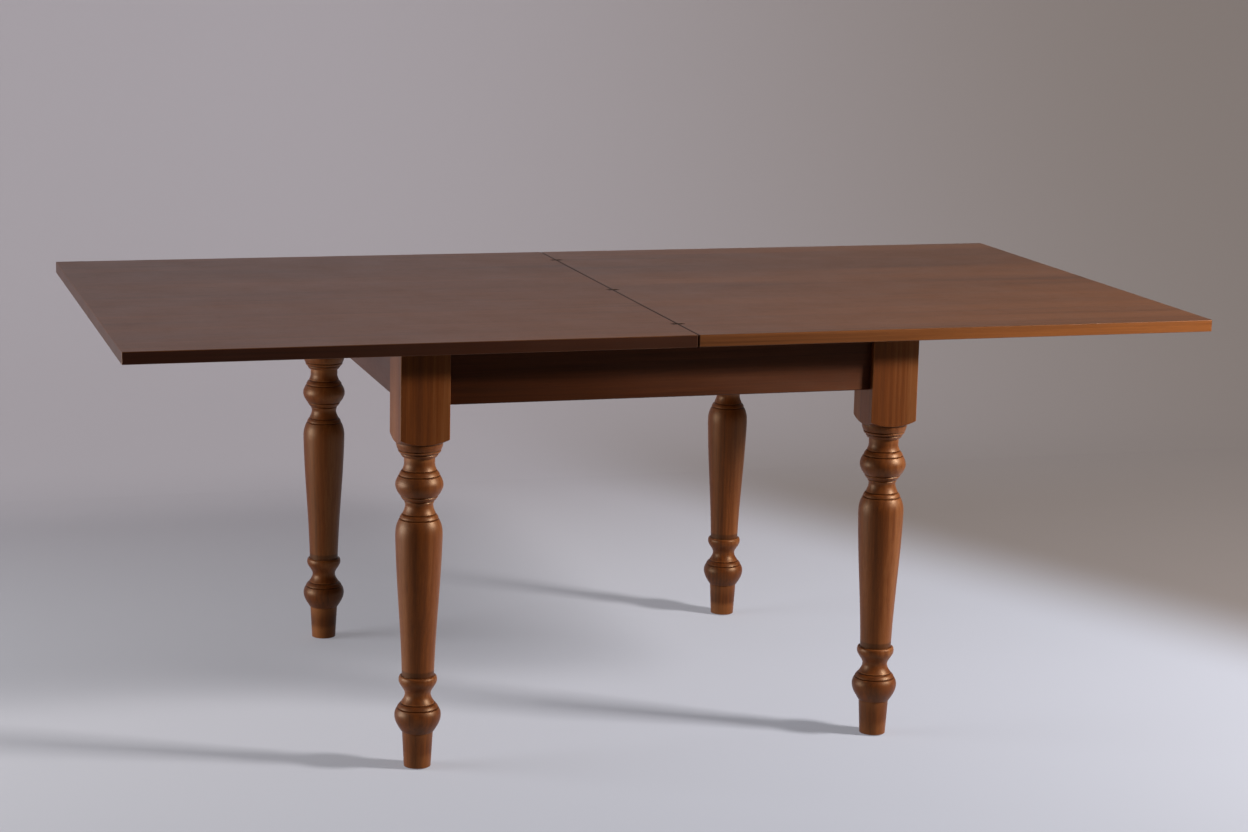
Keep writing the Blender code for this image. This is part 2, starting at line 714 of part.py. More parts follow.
def build_top(sliding, links, flip, finishes):
    screw_places = [
        (-RUNNER_MIDDLE + side * SCREW_SPACING / 2, depth * RUNNER_LINE)
        for side in SIDES.values()
        for depth in DEPTHS.values()
    ]
    add_piece("sliding_leaf", leaf_mesh(screw_places), finishes["top_wood"], sliding, turn=math.pi)
    add_piece("flip_leaf", leaf_mesh([]), finishes["top_wood"], flip)
    cup, pin, link = cup_mesh(), pin_mesh(), link_mesh()
    for name, y in HINGES.items():
        place = (0.0, y, 0.0)
        for leaf, parent, turn in (("sliding", sliding, math.pi), ("flip", flip, 0.0)):
            add_piece(f"hinge_cup_{name}_{leaf}", cup, finishes["bronze"], parent, place, turn)
            add_piece(f"hinge_pin_{name}_{leaf}", pin, finishes["steel"], parent, place, turn)
        add_piece(f"hinge_link_{name}", link, finishes["bronze"], links, place)


def clear_scene():
    for obj in list(bpy.data.objects):
        bpy.data.objects.remove(obj)


def main():
    clear_scene()
    finishes = {
        "top_wood": material("top_wood", (0.165, 0.066, 0.034), 0.38),
        "turned_wood": material("turned_wood", (0.190, 0.078, 0.034), 0.36),
        "apron_wood": material("apron_wood", (0.120, 0.046, 0.022), 0.42),
        "frame_wood": material("frame_wood", (0.420, 0.270, 0.150), 0.60),
        "bronze": material("bronze", (0.120, 0.085, 0.050), 0.45, 1.0),
        "steel": material("steel", (0.560, 0.560, 0.550), 0.35, 1.0),
        "felt": material("felt", (0.050, 0.035, 0.030), 0.95),
        "rubber": material("rubber", (0.030, 0.030, 0.030), 0.80),
        "glide": material("glide", (0.100, 0.075, 0.055), 0.60),
    }
    frame = axis_empty("frame_origin", (FRAME_OFFSET, 0.0, 0.0), None)
    sliding = axis_empty("slide_axis", (FRAME_OFFSET, 0.0, UNDERSIDE), frame)
    links = axis_empty("link_axis", (-PIVOT_SETBACK, 0.0, PIVOT_HEIGHT), sliding)
    flip = axis_empty("flip_axis", (PIVOT_SETBACK, 0.0, PIVOT_HEIGHT), links)
    build_legs(frame, finishes)
    build_aprons(frame, finishes)
    build_slides(frame, sliding, finishes)
    build_top(sliding, links, flip, finishes)


main()
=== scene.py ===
import json
import math

import bmesh
import bpy
from mathutils import Matrix, Vector

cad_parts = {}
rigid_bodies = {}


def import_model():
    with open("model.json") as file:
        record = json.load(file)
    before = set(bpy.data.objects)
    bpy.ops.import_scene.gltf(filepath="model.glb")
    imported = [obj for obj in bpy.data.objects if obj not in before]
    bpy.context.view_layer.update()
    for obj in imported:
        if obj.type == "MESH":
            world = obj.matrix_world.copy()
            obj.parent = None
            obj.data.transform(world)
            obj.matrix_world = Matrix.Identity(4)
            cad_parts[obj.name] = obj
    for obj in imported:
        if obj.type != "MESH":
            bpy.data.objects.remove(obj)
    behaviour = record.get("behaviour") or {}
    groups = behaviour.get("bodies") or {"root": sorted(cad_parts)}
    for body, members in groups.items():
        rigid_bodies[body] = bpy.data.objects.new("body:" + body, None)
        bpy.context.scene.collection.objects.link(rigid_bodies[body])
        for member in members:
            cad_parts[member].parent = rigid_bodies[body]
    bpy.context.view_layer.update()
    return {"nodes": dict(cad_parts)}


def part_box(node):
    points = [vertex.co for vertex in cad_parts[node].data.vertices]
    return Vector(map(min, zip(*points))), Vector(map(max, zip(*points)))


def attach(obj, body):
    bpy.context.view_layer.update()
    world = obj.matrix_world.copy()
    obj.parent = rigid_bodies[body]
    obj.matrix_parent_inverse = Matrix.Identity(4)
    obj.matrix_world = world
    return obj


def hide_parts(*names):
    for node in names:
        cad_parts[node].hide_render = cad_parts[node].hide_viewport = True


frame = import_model()
nodes = frame["nodes"]
corners = ("front_left", "front_right", "back_right", "back_left")
railEnds = ("front_left", "front_right", "back_left", "back_right")
hinges = ("front", "middle", "back")
print("frame loaded:", len(nodes), "solids")


# node trees: sockets that can be added and multiplied like numbers

class Wire:
    def __init__(self, tree, socket):
        self.tree = tree
        self.socket = socket

    def maths(self, operation, first, second=0.0):
        return self.tree.add("ShaderNodeMath", {"operation": operation}, {0: first, 1: second})

    def apply(self, operation):
        return self.maths(operation, self)

    def between(self, low, high):
        values = {"Value": self, "From Min": low, "From Max": high}
        return self.tree.add("ShaderNodeMapRange", {"interpolation_type": "SMOOTHSTEP"}, values)


def overload(sign, operation):
    # the same sign with the wire on its left and on its right
    setattr(Wire, f"__{sign}__", lambda wire, other: wire.maths(operation, wire, other))
    setattr(Wire, f"__r{sign}__", lambda wire, other: wire.maths(operation, other, wire))


signs = {"add": "ADD", "sub": "SUBTRACT", "mul": "MULTIPLY", "truediv": "DIVIDE", "pow": "POWER"}
for sign, operation in signs.items():
    overload(sign, operation)


class Tree:
    def __init__(self, nodeTree):
        self.nodes = nodeTree.nodes
        self.links = nodeTree.links

    def feed(self, socket, value):
        if isinstance(value, list):
            for wire in value:
                self.feed(socket, wire)
        elif isinstance(value, Wire):
            self.links.new(value.socket, socket)
        else:
            socket.default_value = value

    def add(self, kind, settings=None, sockets=None, out=0):
        made = self.nodes.new(kind)
        for key, value in (settings or {}).items():
            if key == "stops":
                ramp = made.color_ramp
                while len(ramp.elements) < len(value):
                    ramp.elements.new(1.0)
                for element, (place, shade) in zip(ramp.elements, value):
                    element.position = place
                    element.color = (*shade, 1.0)
            else:
                setattr(made, key, value)
        for key, value in (sockets or {}).items():
            self.feed(made.inputs[key], value)
        return Wire(self, made.outputs[out])

    def split(self, vector):
        first = self.add("ShaderNodeSeparateXYZ", {}, {0: vector})
        return [Wire(self, socket) for socket in first.socket.node.outputs]

    def vector(self, x, y, z):
        return self.add("ShaderNodeCombineXYZ", {}, {0: x, 1: y, 2: z})


class Finish(Tree):
    def __init__(self, name):
        self.material = bpy.data.materials.new(name)
        self.material.use_nodes = True
        super().__init__(self.material.node_tree)
        self.shader = self.nodes["Principled BSDF"]

    def set(self, **values):
        for key, value in values.items():
            self.feed(self.shader.inputs[key.replace("_", " ")], value)

    def here(self):
        return self.add("ShaderNodeTexCoord", out="Object")

    def noise(self, vector, scale, detail=2.0, roughness=0.5):
        values = {"Vector": vector, "Scale": scale, "Detail": detail, "Roughness": roughness}
        return self.add("ShaderNodeTexNoise", {}, values)

    def mix(self, factor, first, second):
        return self.add("ShaderNodeMix", {"data_type": "RGBA"}, {0: factor, 6: first, 7: second}, out=2)

    def bump(self, height, strength, distance):
        values = {"Height": height, "Strength": strength, "Distance": distance}
        self.set(Normal=self.add("ShaderNodeBump", {}, values))


def colour(red, green, blue, times=1.0):
    return (red * times, green * times, blue * times, 1.0)


# finishes

woodGrain = {
    "noises": {  # stretch along the grain, spread across it, scale, detail, roughness
        "wobble": (0.55, 4.0, 1.6, 3.0, 0.55),
        "streak": (0.018, 1.0, 95.0, 3.0, 0.5),
        "fibre": (0.010, 1.0, 620.0, 4.0, 0.62),
        "pores": (0.018, 1.0, 1700.0, 1.0, 0.5),
        "figure": (1.2, 6.0, 1.0, 2.0, 0.5),
        "faint": (0.9, 9.0, 2.0, 2.0, 0.5),
    },
    "ringSpacing": 0.0080,  # metres between growth rings
    "ringWobble": 0.020,
    "lateStart": (0.05, 0.75),  # shares of a ring
    "lateEnd": (0.80, 1.0),
    "faintRange": (0.40, 0.70),
    "poreRange": (0.60, 0.74),
    "shares": {"rings": 0.10, "streak": 0.44, "fibre": 0.42, "figure": 0.34, "board": 0.10},
    "boardShift": {"along": 3.0, "up": 0.05},  # at most, from one glued board to the next
    "tonePlaces": (0.38, 0.66, 0.94),  # shade of the light, middle and dark tone
    "poreStain": (0.40, 0.35),  # how much of it is mixed in, and how light it is beside its tone
    "rub": (0.45, 1.35),
    "grimeAndShadeMix": (0.60, 0.40),
    "rubRange": (0.16, 0.75),
    "grimeAndShadeRange": (0.10, 0.60),
    "handledRange": (0.30, 0.65),
    "handledNoise": (9.0, 3.0),
    "rough": {"fibre": 0.10, "handled": 0.10, "pores": 0.12, "edgeToned": 0.05},
    "relief": {"fibre": 0.5, "strength": 0.14, "distance": 0.0004},
}
# painted light on the legs: paler sides that face the lamps, and darker towards the floor
legPaintedLight = {
    "whole": 0.10,
    "paintedLitSides": 0.25,
    "footRange": (0.09, 0.16),  # heights between which the leg's darker foot, with less of its painted lit sides, gives way to the column
    "footPaleLess": 0.20,
    "footDark": 0.05,
    "least": 0.000001,  # keeps the middle of the post from a division by zero
}


def woodShade(wood, along, across, up, heart, chance):
    # heart is where the middle of the trunk lies, on the two axes across the grain
    noises = {}
    for key, (stretch, spread, *rest) in woodGrain["noises"].items():
        noises[key] = wood.noise(wood.vector(along * stretch, across * spread, up * spread), *rest)
    offsetA, offsetB = across - heart[0], up - heart[1]
    radius = (offsetA * offsetA + offsetB * offsetB) ** 0.5 + noises["wobble"] * woodGrain["ringWobble"]
    ring = (radius / woodGrain["ringSpacing"]).apply("FRACT")
    lateWood = ring.between(*woodGrain["lateStart"]) * (1.0 - ring.between(*woodGrain["lateEnd"]))
    shares = woodGrain["shares"]
    shade = shares["rings"] * lateWood * noises["faint"].between(*woodGrain["faintRange"])
    for key in ("streak", "fibre"):
        shade = shade + shares[key] * (1.0 - noises[key])
    shade = shade + shares["figure"] * noises["figure"] + shares["board"] * chance
    return shade, noises["fibre"], noises["pores"].between(*woodGrain["poreRange"])


def paintedLitSides(x, y, z, middleX, middleY, facing):
    # painted light: lighter where a leg faces this way or the opposite one, as the lamps light its sides
    fromX, fromY = x - middleX, y - middleY
    sideways = fromX * math.cos(facing) + fromY * math.sin(facing)
    foot = 1.0 - z.between(*legPaintedLight["footRange"])
    pale = legPaintedLight["paintedLitSides"] - legPaintedLight["footPaleLess"] * foot
    pale = pale * sideways * sideways / (fromX * fromX + fromY * fromY + legPaintedLight["least"])
    return legPaintedLight["whole"] + legPaintedLight["footDark"] * foot - pale


def woodFinish(name, grainAxis, heart, tones, satin, boardWidth=None, boardShift=0.0, lipping=None,
               gloss=0.355, post=None):
    # the edge tone multiplies a leaf's edges beside their own tone: painted shade along the sliding leaf's
    # long edges, painted light growing towards the flip leaf's outer end, and a darker end grain; post is
    # the middle of a leg and the way its painted lit sides face
    wood = Finish(name)
    x, y, z = wood.split(wood.here())
    along, across, up = {"x": (x, y, z), "y": (y, x, z), "z": (z, x, y)}[grainAxis]
    chance = 0.5
    if boardWidth:
        board = ((across + boardShift) / boardWidth).apply("FLOOR")
        chance = wood.add("ShaderNodeTexWhiteNoise", {"noise_dimensions": "1D"}, {"W": board})
        across = across - board * boardWidth + boardShift
        along = along + chance * woodGrain["boardShift"]["along"]
        up = up + chance * woodGrain["boardShift"]["up"]
    shade, fibre, pores = woodShade(wood, along, across, up, heart, chance)
    if post:
        shade = shade + paintedLitSides(x, y, z, *post)
    light, middle, dark, sheen = woodTones[tones]
    stops = list(zip(woodGrain["tonePlaces"], (light, middle, dark)))

    def tonedBy(key, amount, tone, base):
        share, times = woodGrain[key]
        return wood.mix(amount * share, base, colour(*tone, times))

    base = wood.add("ShaderNodeValToRGB", {"stops": stops}, {0: shade})
    base = tonedBy("poreStain", pores, dark, base)
    rough = woodGrain["rough"]
    dulled = 0.0
    # edge tone of a leaf: painted shade on the sliding leaf's long edges, painted light on the flip leaf's,
    # a darker end grain
    if lipping:
        edge = wood.add("ShaderNodeAttribute", {"attribute_name": "lipping"}, out="Fac")
        edgeToned = wood.add("ShaderNodeMix", {"data_type": "RGBA", "blend_type": "MULTIPLY"},
                           {0: 1.0, 6: base, 7: colour(*lipping)}, out=2)
        base = wood.mix(edge, base, edgeToned)
        dulled = rough["edgeToned"] * edge
    handled = wood.noise(wood.here(), *woodGrain["handledNoise"])
    wearAndShade = wood.add("ShaderNodeAttribute", {"attribute_name": "edgeWear"}, out="Fac")
    rubbed = wearAndShade.between(*woodGrain["rubRange"]) * handled.between(*woodGrain["handledRange"])
    # darker in grooves, as grime, and in the leaves' seam, as painted shade
    grimeAndShade = (0.0 - wearAndShade).between(*woodGrain["grimeAndShadeRange"])
    base = tonedBy("rub", rubbed, light, base)
    base = tonedBy("grimeAndShadeMix", grimeAndShade, dark, base)
    uneven = rough["fibre"] * (fibre - 0.5) + rough["handled"] * (handled - 0.5) + rough["pores"] * pores
    wood.set(
        Base_Color=base,
        Roughness=satin + uneven + dulled,
        Specular_IOR_Level=gloss,
        Specular_Tint=colour(*sheen),
    )
    relief = woodGrain["relief"]
    wood.bump(fibre * relief["fibre"] - pores, relief["strength"], relief["distance"])
    return wood.material


woodTones = {  # light, middle and dark wood, and the tint of its sheen
    "leaf": ((0.174, 0.058, 0.016), (0.112, 0.036, 0.010), (0.053, 0.016, 0.004), (1.0, 0.82, 0.66)),
    "leg": ((0.216, 0.074, 0.021), (0.124, 0.029, 0.004), (0.048, 0.010, 0.002), (1.0, 0.64, 0.36)),
    # apron: a darker copy of the wood, as painted shade under the top
    "apron": ((0.092, 0.025, 0.006), (0.056, 0.013, 0.003), (0.025, 0.006, 0.002), (1.0, 0.66, 0.46)),
    "beech": ((0.520, 0.350, 0.210), (0.420, 0.265, 0.150), (0.280, 0.165, 0.090), (1.0, 0.90, 0.80)),
}

# the sliding leaf's edges are darkened as painted shade, the flip leaf's brightened towards its outer end as
# painted light
leftLeafWood = woodFinish("leftLeafWood", "x", (0.066, 0.640), "leaf", satin=0.36, boardWidth=0.132,
                          boardShift=0.031, lipping=(0.23, 0.14, 0.14))
rightLeafWood = woodFinish("rightLeafWood", "x", (0.066, 0.610), "leaf", satin=0.34, boardWidth=0.132,
                           boardShift=0.077, lipping=(2.05, 1.95, 1.50))
# the aprons take the darker apron tones: painted shade under the top
sideApronShadedWood = woodFinish("sideApronShadedWood", "y", (-0.33, 0.640), "apron", satin=0.40)
longApronShadedWood = woodFinish("longApronShadedWood", "x", (-0.33, 0.640), "apron", satin=0.40)
frameWood = woodFinish("frameWood", "x", (0.030, 0.610), "beech", satin=0.58, boardWidth=0.09)


metalGrain = {
    "cloud": (260.0, 3.0),  # scale and detail
    "wornRange": (0.42, 0.68),
    "rough": {"cloud": 0.16, "grain": 0.10},
    "relief": (0.10, 0.0002),  # strength and distance
}
plainGrain = {
    "fuzz": (5.0, 0.7),  # detail and roughness
    "cloudScale": 0.06,  # beside the fuzz
    "shares": {"fuzz": 0.65, "cloud": 0.35},
    "rough": 0.12,
    "reliefDistance": 0.0006,
}


def metalFinish(name, tone, worn, rough, brushed):
    metal = Finish(name)
    cloud = metal.noise(metal.here(), *metalGrain["cloud"])
    grain = metal.noise(metal.here(), brushed)
    uneven = metalGrain["rough"]
    metal.set(
        Base_Color=metal.mix(cloud.between(*metalGrain["wornRange"]), colour(*tone), colour(*worn)),
        Metallic=1.0,
        Roughness=rough + uneven["cloud"] * (cloud - 0.5) + uneven["grain"] * (grain - 0.5),
    )
    metal.bump(grain, *metalGrain["relief"])
    return metal.material


def plainFinish(name, tone, speck, rough, scale, lift):
    # felt, rubber and nylon: a fine all-over texture in two near tones
    plain = Finish(name)
    fuzz = plain.noise(plain.here(), scale, *plainGrain["fuzz"])
    cloud = plain.noise(plain.here(), scale * plainGrain["cloudScale"])
    shares = plainGrain["shares"]
    blend = shares["fuzz"] * fuzz + shares["cloud"] * cloud
    plain.set(
        Base_Color=plain.mix(blend, colour(*tone), colour(*speck)),
        Roughness=rough + plainGrain["rough"] * (fuzz - 0.5),
    )
    plain.bump(fuzz, lift, plainGrain["reliefDistance"])
    return plain.material


bronze = metalFinish("darkBronze", (0.022, 0.017, 0.013), (0.070, 0.049, 0.032),
                     rough=0.52, brushed=2600.0)
zincSteel = metalFinish("zincSteel", (0.560, 0.560, 0.545), (0.420, 0.415, 0.395),
                        rough=0.34, brushed=3200.0)
felt = plainFinish("brownFelt", (0.030, 0.019, 0.015), (0.085, 0.058, 0.046),
                   rough=0.95, scale=2400.0, lift=0.55)
rubber = plainFinish("blackRubber", (0.016, 0.016, 0.016), (0.036, 0.035, 0.034),
                     rough=0.78, scale=1800.0, lift=0.12)
nylon = plainFinish("brownNylon", (0.070, 0.050, 0.036), (0.120, 0.088, 0.064),
                    rough=0.56, scale=1400.0, lift=0.08)
print("finishes made:", len(bpy.data.materials))


# mesh helpers

easing = {
    "apron": 0.0012,
    "block": 0.0012,
    "felt": 0.0005,
    "steps": 2,
    "narrow": 0.005,  # faces up to about this wide count as edges
    "sharp": 40.0,  # degrees between faces whose edge is eased
    "flat": 1.0,
    "smooth": 32.0,
    "flatWeight": 60,  # how much the broad faces lead the shading
    "same": 0.000004,  # metres between corners that are one
    "touch": 0.000001,
}


def objectOf(mesh, name):
    made = bpy.data.objects.new(name, mesh)
    bpy.context.scene.collection.objects.link(made)
    return made


def plainMesh(holder):
    # what the holder's modifiers make, as a mesh of its own
    graph = bpy.context.evaluated_depsgraph_get()
    result = bpy.data.meshes.new_from_object(holder.evaluated_get(graph))
    holder.modifiers.clear()
    bpy.data.objects.remove(holder)
    return result


def withModifiers(mesh, *steps):
    # each step is a modifier type and its settings
    holder = objectOf(mesh, "holder")
    for kind, settings in steps:
        modifier = holder.modifiers.new(kind.lower(), kind)
        for key, value in settings.items():
            setattr(modifier, key, value)
    return plainMesh(holder)


def evenShade(mesh, angle=easing["smooth"]):
    # smooth faces that keep their flats flat
    mesh.shade_smooth()
    mesh.set_sharp_from_angle(angle=math.radians(angle))
    return withModifiers(mesh, ("WEIGHTED_NORMAL", {"keep_sharp": True, "weight": easing["flatWeight"]}))


def closedMesh(bm, name):
    bmesh.ops.recalc_face_normals(bm, faces=bm.faces)
    mesh = bpy.data.meshes.new(name)
    bm.to_mesh(mesh)
    bm.free()
    return mesh


def markEdges(mesh):
    # how far each corner stands out (above 0) or lies in a groove (below 0), for worn places and for dark
    # ones, grime in grooves; broad faces stay at 0, so that only narrow ones along an edge are marked. The
    # leaves later mark their seam as a groove, for painted shade
    bm = bmesh.new()
    bm.from_mesh(mesh)
    turn = [0.0] * len(bm.verts)
    for edge in bm.edges:
        if edge.is_manifold:
            angle = edge.calc_face_angle_signed(0.0)
            for vert in edge.verts:
                if abs(angle) > abs(turn[vert.index]):
                    turn[vert.index] = angle
    marks = []
    for face in bm.faces:
        narrow = 2.0 * face.calc_area() / face.calc_perimeter() < easing["narrow"]
        marks += [turn[vert.index] if narrow else 0.0 for vert in face.verts]
    bm.free()
    mesh.attributes.new("edgeWear", "FLOAT", "CORNER").data.foreach_set("value", marks)
    return mesh


def piece(name, mesh, material, body, slotName, *stoodFor):
    mesh.materials.clear()
    mesh.materials.append(material)
    made = objectOf(markEdges(mesh), name)
    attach(made, body)
    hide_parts(*stoodFor)


def roundOff(bm, edges, width, steps):
    bmesh.ops.bevel(bm, geom=edges, offset=width, offset_type="OFFSET", segments=steps, profile=0.5,
                    affect="EDGES", clamp_overlap=True)


def eased(source, name, width):
    # edges rounded off, as a sander or a press leaves them
    bm = bmesh.new()
    bm.from_mesh(source)
    bmesh.ops.remove_doubles(bm, verts=bm.verts, dist=easing["same"])
    flat, sharp = math.radians(easing["flat"]), math.radians(easing["sharp"])
    bmesh.ops.dissolve_limit(bm, angle_limit=flat, verts=bm.verts, edges=bm.edges)
    edges = [e for e in bm.edges if e.is_manifold and e.calc_face_angle() > sharp]
    roundOff(bm, edges, width, easing["steps"])
    mesh = closedMesh(bm, name)
    mesh.materials.clear()
    return evenShade(mesh)


def easedPiece(name, node, width, material, body, slotName):
    piece(name, eased(nodes[node].data, node + "_eased", width), material, body, slotName, node)


# Geometry Nodes: trees with named inputs, run once and kept as plain meshes

class Growth(Tree):
    def __init__(self, name, **inputs):
        self.group = bpy.data.node_groups.new(name, "GeometryNodeTree")
        super().__init__(self.group)
        self.ids = {}
        face = self.group.interface
        for key, kind in {"geometry": "Geometry", **inputs, "material": "Material"}.items():
            self.ids[key] = face.new_socket(key, in_out="INPUT", socket_type="NodeSocket" + kind)
        face.new_socket("result", in_out="OUTPUT", socket_type="NodeSocketGeometry")
        self.source = self.nodes.new("NodeGroupInput")

    def input(self, key):
        return Wire(self, self.source.outputs[key])

    def grow(self, kind, settings=None, out=0, **values):
        # a geometry node; underscores stand for the blanks in its sockets' names
        sockets = {key.replace("_", " "): value for key, value in values.items()}
        return self.add("GeometryNode" + kind, settings, sockets, out)

    def end(self, geometry):
        whole = self.grow("RealizeInstances", Geometry=geometry)
        smooth = self.grow("SetShadeSmooth", Geometry=whole)
        painted = self.grow("SetMaterial", Geometry=smooth, Material=self.input("material"))
        self.feed(self.nodes.new("NodeGroupOutput").inputs[0], painted)

    def run(self, mesh, **values):
        holder = objectOf(mesh, "holder")
        modifier = holder.modifiers.new("growth", "NODES")
        modifier.node_group = self.group
        for key, value in values.items():
            modifier[self.ids[key].identifier] = value
        return plainMesh(holder)

    def shape(self, key):
        return self.grow("ObjectInfo", out="Geometry", Object=self.input(key))

    def lathe(self, line, sides):
        # sweeps a circle up a line whose points carry their own radius
        girth = self.grow("InputNamedAttribute", {"data_type": "FLOAT"}, Name="girth")
        ring = self.grow("CurvePrimitiveCircle", Resolution=sides, Radius=1.0)
        path = self.grow("MeshToCurve", Mesh=line)
        return self.grow("CurveToMesh", Curve=path, Profile_Curve=ring, Scale=girth, Fill_Caps=True)

    def rod(self, sides, radius, depth):
        return self.grow("MeshCylinder", Vertices=sides, Radius=radius, Depth=depth)

    def cone(self, sides, low, high, depth):
        return self.grow("MeshCone", Vertices=sides, Radius_Bottom=low, Radius_Top=high, Depth=depth)

    def boolean(self, operation, first, others):
        meshes = {"Mesh_2": [first, *others]}
        if operation == "DIFFERENCE":
            meshes = {"Mesh_1": first, "Mesh_2": others}
        return self.grow("MeshBoolean", {"operation": operation, "solver": "EXACT"}, **meshes)

    def slab(self, key, direction, depth):
        # a flat face drawn out along its normal, closed at both ends
        flat = self.shape(key)
        drawn = self.grow("ExtrudeMesh", {"mode": "FACES"}, Mesh=flat, Offset=direction,
                          Offset_Scale=depth, Individual=False)
        both = self.grow("JoinGeometry", Geometry=[drawn, self.grow("FlipFaces", Mesh=flat)])
        return self.grow("MergeByDistance", Geometry=both, Distance=easing["touch"])

    def moved(self, geometry, place, turn=(0.0, 0.0, 0.0)):
        return self.grow("Transform", Geometry=geometry, Translation=place, Rotation=turn)

    def placed(self, shape):
        # a copy on every point of the incoming mesh, turned by the point's own angles
        turn = self.grow("InputNamedAttribute", {"data_type": "FLOAT_VECTOR"}, Name="turn")
        facing = self.add("FunctionNodeEulerToRotation", {}, {0: turn})
        return self.grow("InstanceOnPoints", Points=self.input("geometry"), Instance=shape, Rotation=facing)


def turningLine(points):
    # points are radius and height; level steps get a hair of rise so that every ring has a direction
    hair = 0.00004
    mesh = bpy.data.meshes.new("turningLine")
    heights = []
    for radius, height in points:
        heights.append(max(height, heights[-1] + hair) if heights else height)
    verts = [(0.0, 0.0, height) for height in heights]
    mesh.from_pydata(verts, [(i, i + 1) for i in range(len(verts) - 1)], [])
    girth = mesh.attributes.new("girth", "FLOAT", "POINT")
    girth.data.foreach_set("value", [radius for radius, height in points])
    return mesh


def turnedSpots(points, turns):
    # places for copies, each with its own angles
    mesh = bpy.data.meshes.new("spots")
    mesh.from_pydata(points, [], [])
    mesh.attributes.new("turn", "FLOAT_VECTOR", "POINT").data.foreach_set("vector", turns)
    return mesh


def facingSpots(places):
    # each place has the way that the copy's z axis points
    turns = []
    for place, facing in places:
        turns += Vector(facing).to_track_quat("Z", "Y").to_euler()
    return turnedSpots([tuple(place) for place, facing in places], turns)


# turned legs

leg = {
    "sides": 64,
    "foot": (2.0, 47.8),  # height above the floor and width, in millimetres
    "stretches": [  # shape, height and width at its upper end, lean towards that end
        ("taper", 65.2, 54.8, 1.0),
        ("taper", 66.2, 53.4, 1.0),
        ("taper", 66.2, 57.4, 1.0),
        ("swell", 96.0, 82.6, 1.0),
        ("ogee", 135.0, 46.0, 1.05),
        ("ogee", 160.8, 68.2, 1.0),
        ("roundOver", 168.4, 62.0, 1.0),
        ("taper", 168.4, 57.0, 1.0),
        ("column", 420.8, 83.2, 1.0),
        ("ogee", 478.0, 49.2, 1.44),
        ("ogee", 514.5, 84.2, 0.88),
        ("ogee", 553.0, 54.0, 1.0),
        ("taper", 563.6, 54.8, 1.0),
        ("taper", 564.4, 53.2, 1.0),
        ("taper", 564.4, 61.0, 1.0),
        ("swell", 590.5, 82.8, 1.0),
        ("swell", 607.0, 130.0, 1.0),
        ("taper", 760.0, 130.0, 1.0),
    ],
    "spacing": {"taper": 40.0, "swell": 1.4, "ogee": 1.4, "roundOver": 1.0, "column": 14.0},
    "ridges": [(109.5, 118.0), (453.6, 462.2), (485.5, 494.8), (531.0, 540.4), (570.6, 577.0)],
    "ridgeLift": 0.8,
    "lineDepth": 1.5,  # fine lines are cut at both ends of a ridge
    "lineReach": 1.5,
    "lineClear": 0.3,
    "blankFoot": (0.0, 0.0, -0.01),  # from here on, lengths are in metres
    "blockEdge": 0.0014,
    "edgeSteps": 4,
    "recessSides": 48,
    "recessDepth": 0.0063,
    "recessPlay": 0.0003,
    "boltSides": 32,
    "boltRadius": 0.004,
    "boltPlay": 0.0003,
    "boltHole": 0.09,  # half of it lies in the block
    "satin": 0.42,
    "gloss": 0.48,
    "smooth": 28.0,  # degrees
    "hearts": {"front_left": (0.055, 0.030), "front_right": (-0.070, 0.044),
               "back_right": (0.048, -0.052), "back_left": (-0.062, 0.026)},
    # the way that each leg's painted lit sides face
    "paintedLightFacing": {"front_left": -20.0, "front_right": -43.0,  # degrees from the x axis
                   "back_right": -40.0, "back_left": -60.0},
}
legShapes = {
    "taper": lambda t: t,
    "swell": lambda t: math.sin(math.pi * t / 2.0),
    "ogee": lambda t: (1.0 - math.cos(math.pi * t)) / 2.0,
    "roundOver": lambda t: 1.0 - math.sqrt(1.0 - t * t),
    "column": lambda t: (t + (1.0 - math.cos(math.pi * t)) / 2.0) / 2.0,
}


def legPoints():
    # radius and height, stretch by stretch up the leg, with the ridges raised and their lines cut
    reach = leg["lineReach"]
    lines = [line for ridge in leg["ridges"] for line in ridge]
    low, lowWidth = leg["foot"]
    points = [(lowWidth, low)]
    for shape, high, highWidth, lean in leg["stretches"]:
        rise = high - low
        count = max(1, round(rise / leg["spacing"][shape]))
        heights = [low + rise * step / count for step in range(1, count + 1)]
        for line in lines:
            if low < line < high:
                heights = [h for h in heights if abs(h - line) > reach + leg["lineClear"]]
                heights += [line - reach, line, line + reach]
        for height in sorted(heights):
            share = legShapes[shape](((height - low) / rise) ** lean if rise else 1.0)
            width = lowWidth + (highWidth - lowWidth) * share
            for start, end in leg["ridges"]:
                if start < height < end:
                    bulge = math.sin(math.pi * (height - start) / (end - start))
                    width += 2.0 * leg["ridgeLift"] * bulge
            if height in lines:
                width -= 2.0 * leg["lineDepth"]
            points.append((width, height))
        low, lowWidth = high, highWidth
    return [(width / 2000.0, height / 1000.0) for width, height in points]


def legTree():
    tree = Growth("turnedLeg", sides="Int", block="Float", edge="Float", top="Vector", recess="Float",
                  boltPlace="Vector", boltTurn="Vector", boltRadius="Float")
    body = tree.lathe(tree.input("geometry"), tree.input("sides"))
    width = tree.input("block")
    square = tree.grow("CurvePrimitiveQuadrilateral", Width=width, Height=width)
    outline = tree.grow("FilletCurve", {"mode": "POLY"}, Curve=square, Count=leg["edgeSteps"],
                        Radius=tree.input("edge"))
    stick = tree.grow("CurvePrimitiveLine", Start=leg["blankFoot"], End=tree.input("top"))
    blank = tree.grow("CurveToMesh", Curve=stick, Profile_Curve=outline, Fill_Caps=True)
    shaped = tree.boolean("INTERSECT", body, [blank])
    recess = tree.rod(leg["recessSides"], tree.input("recess"), 2.0 * leg["recessDepth"])
    bolt = tree.rod(leg["boltSides"], tree.input("boltRadius"), leg["boltHole"])
    bolt = tree.moved(bolt, tree.input("boltPlace"), tree.input("boltTurn"))
    tree.end(tree.boolean("DIFFERENCE", shaped, [recess, bolt]))
    return tree


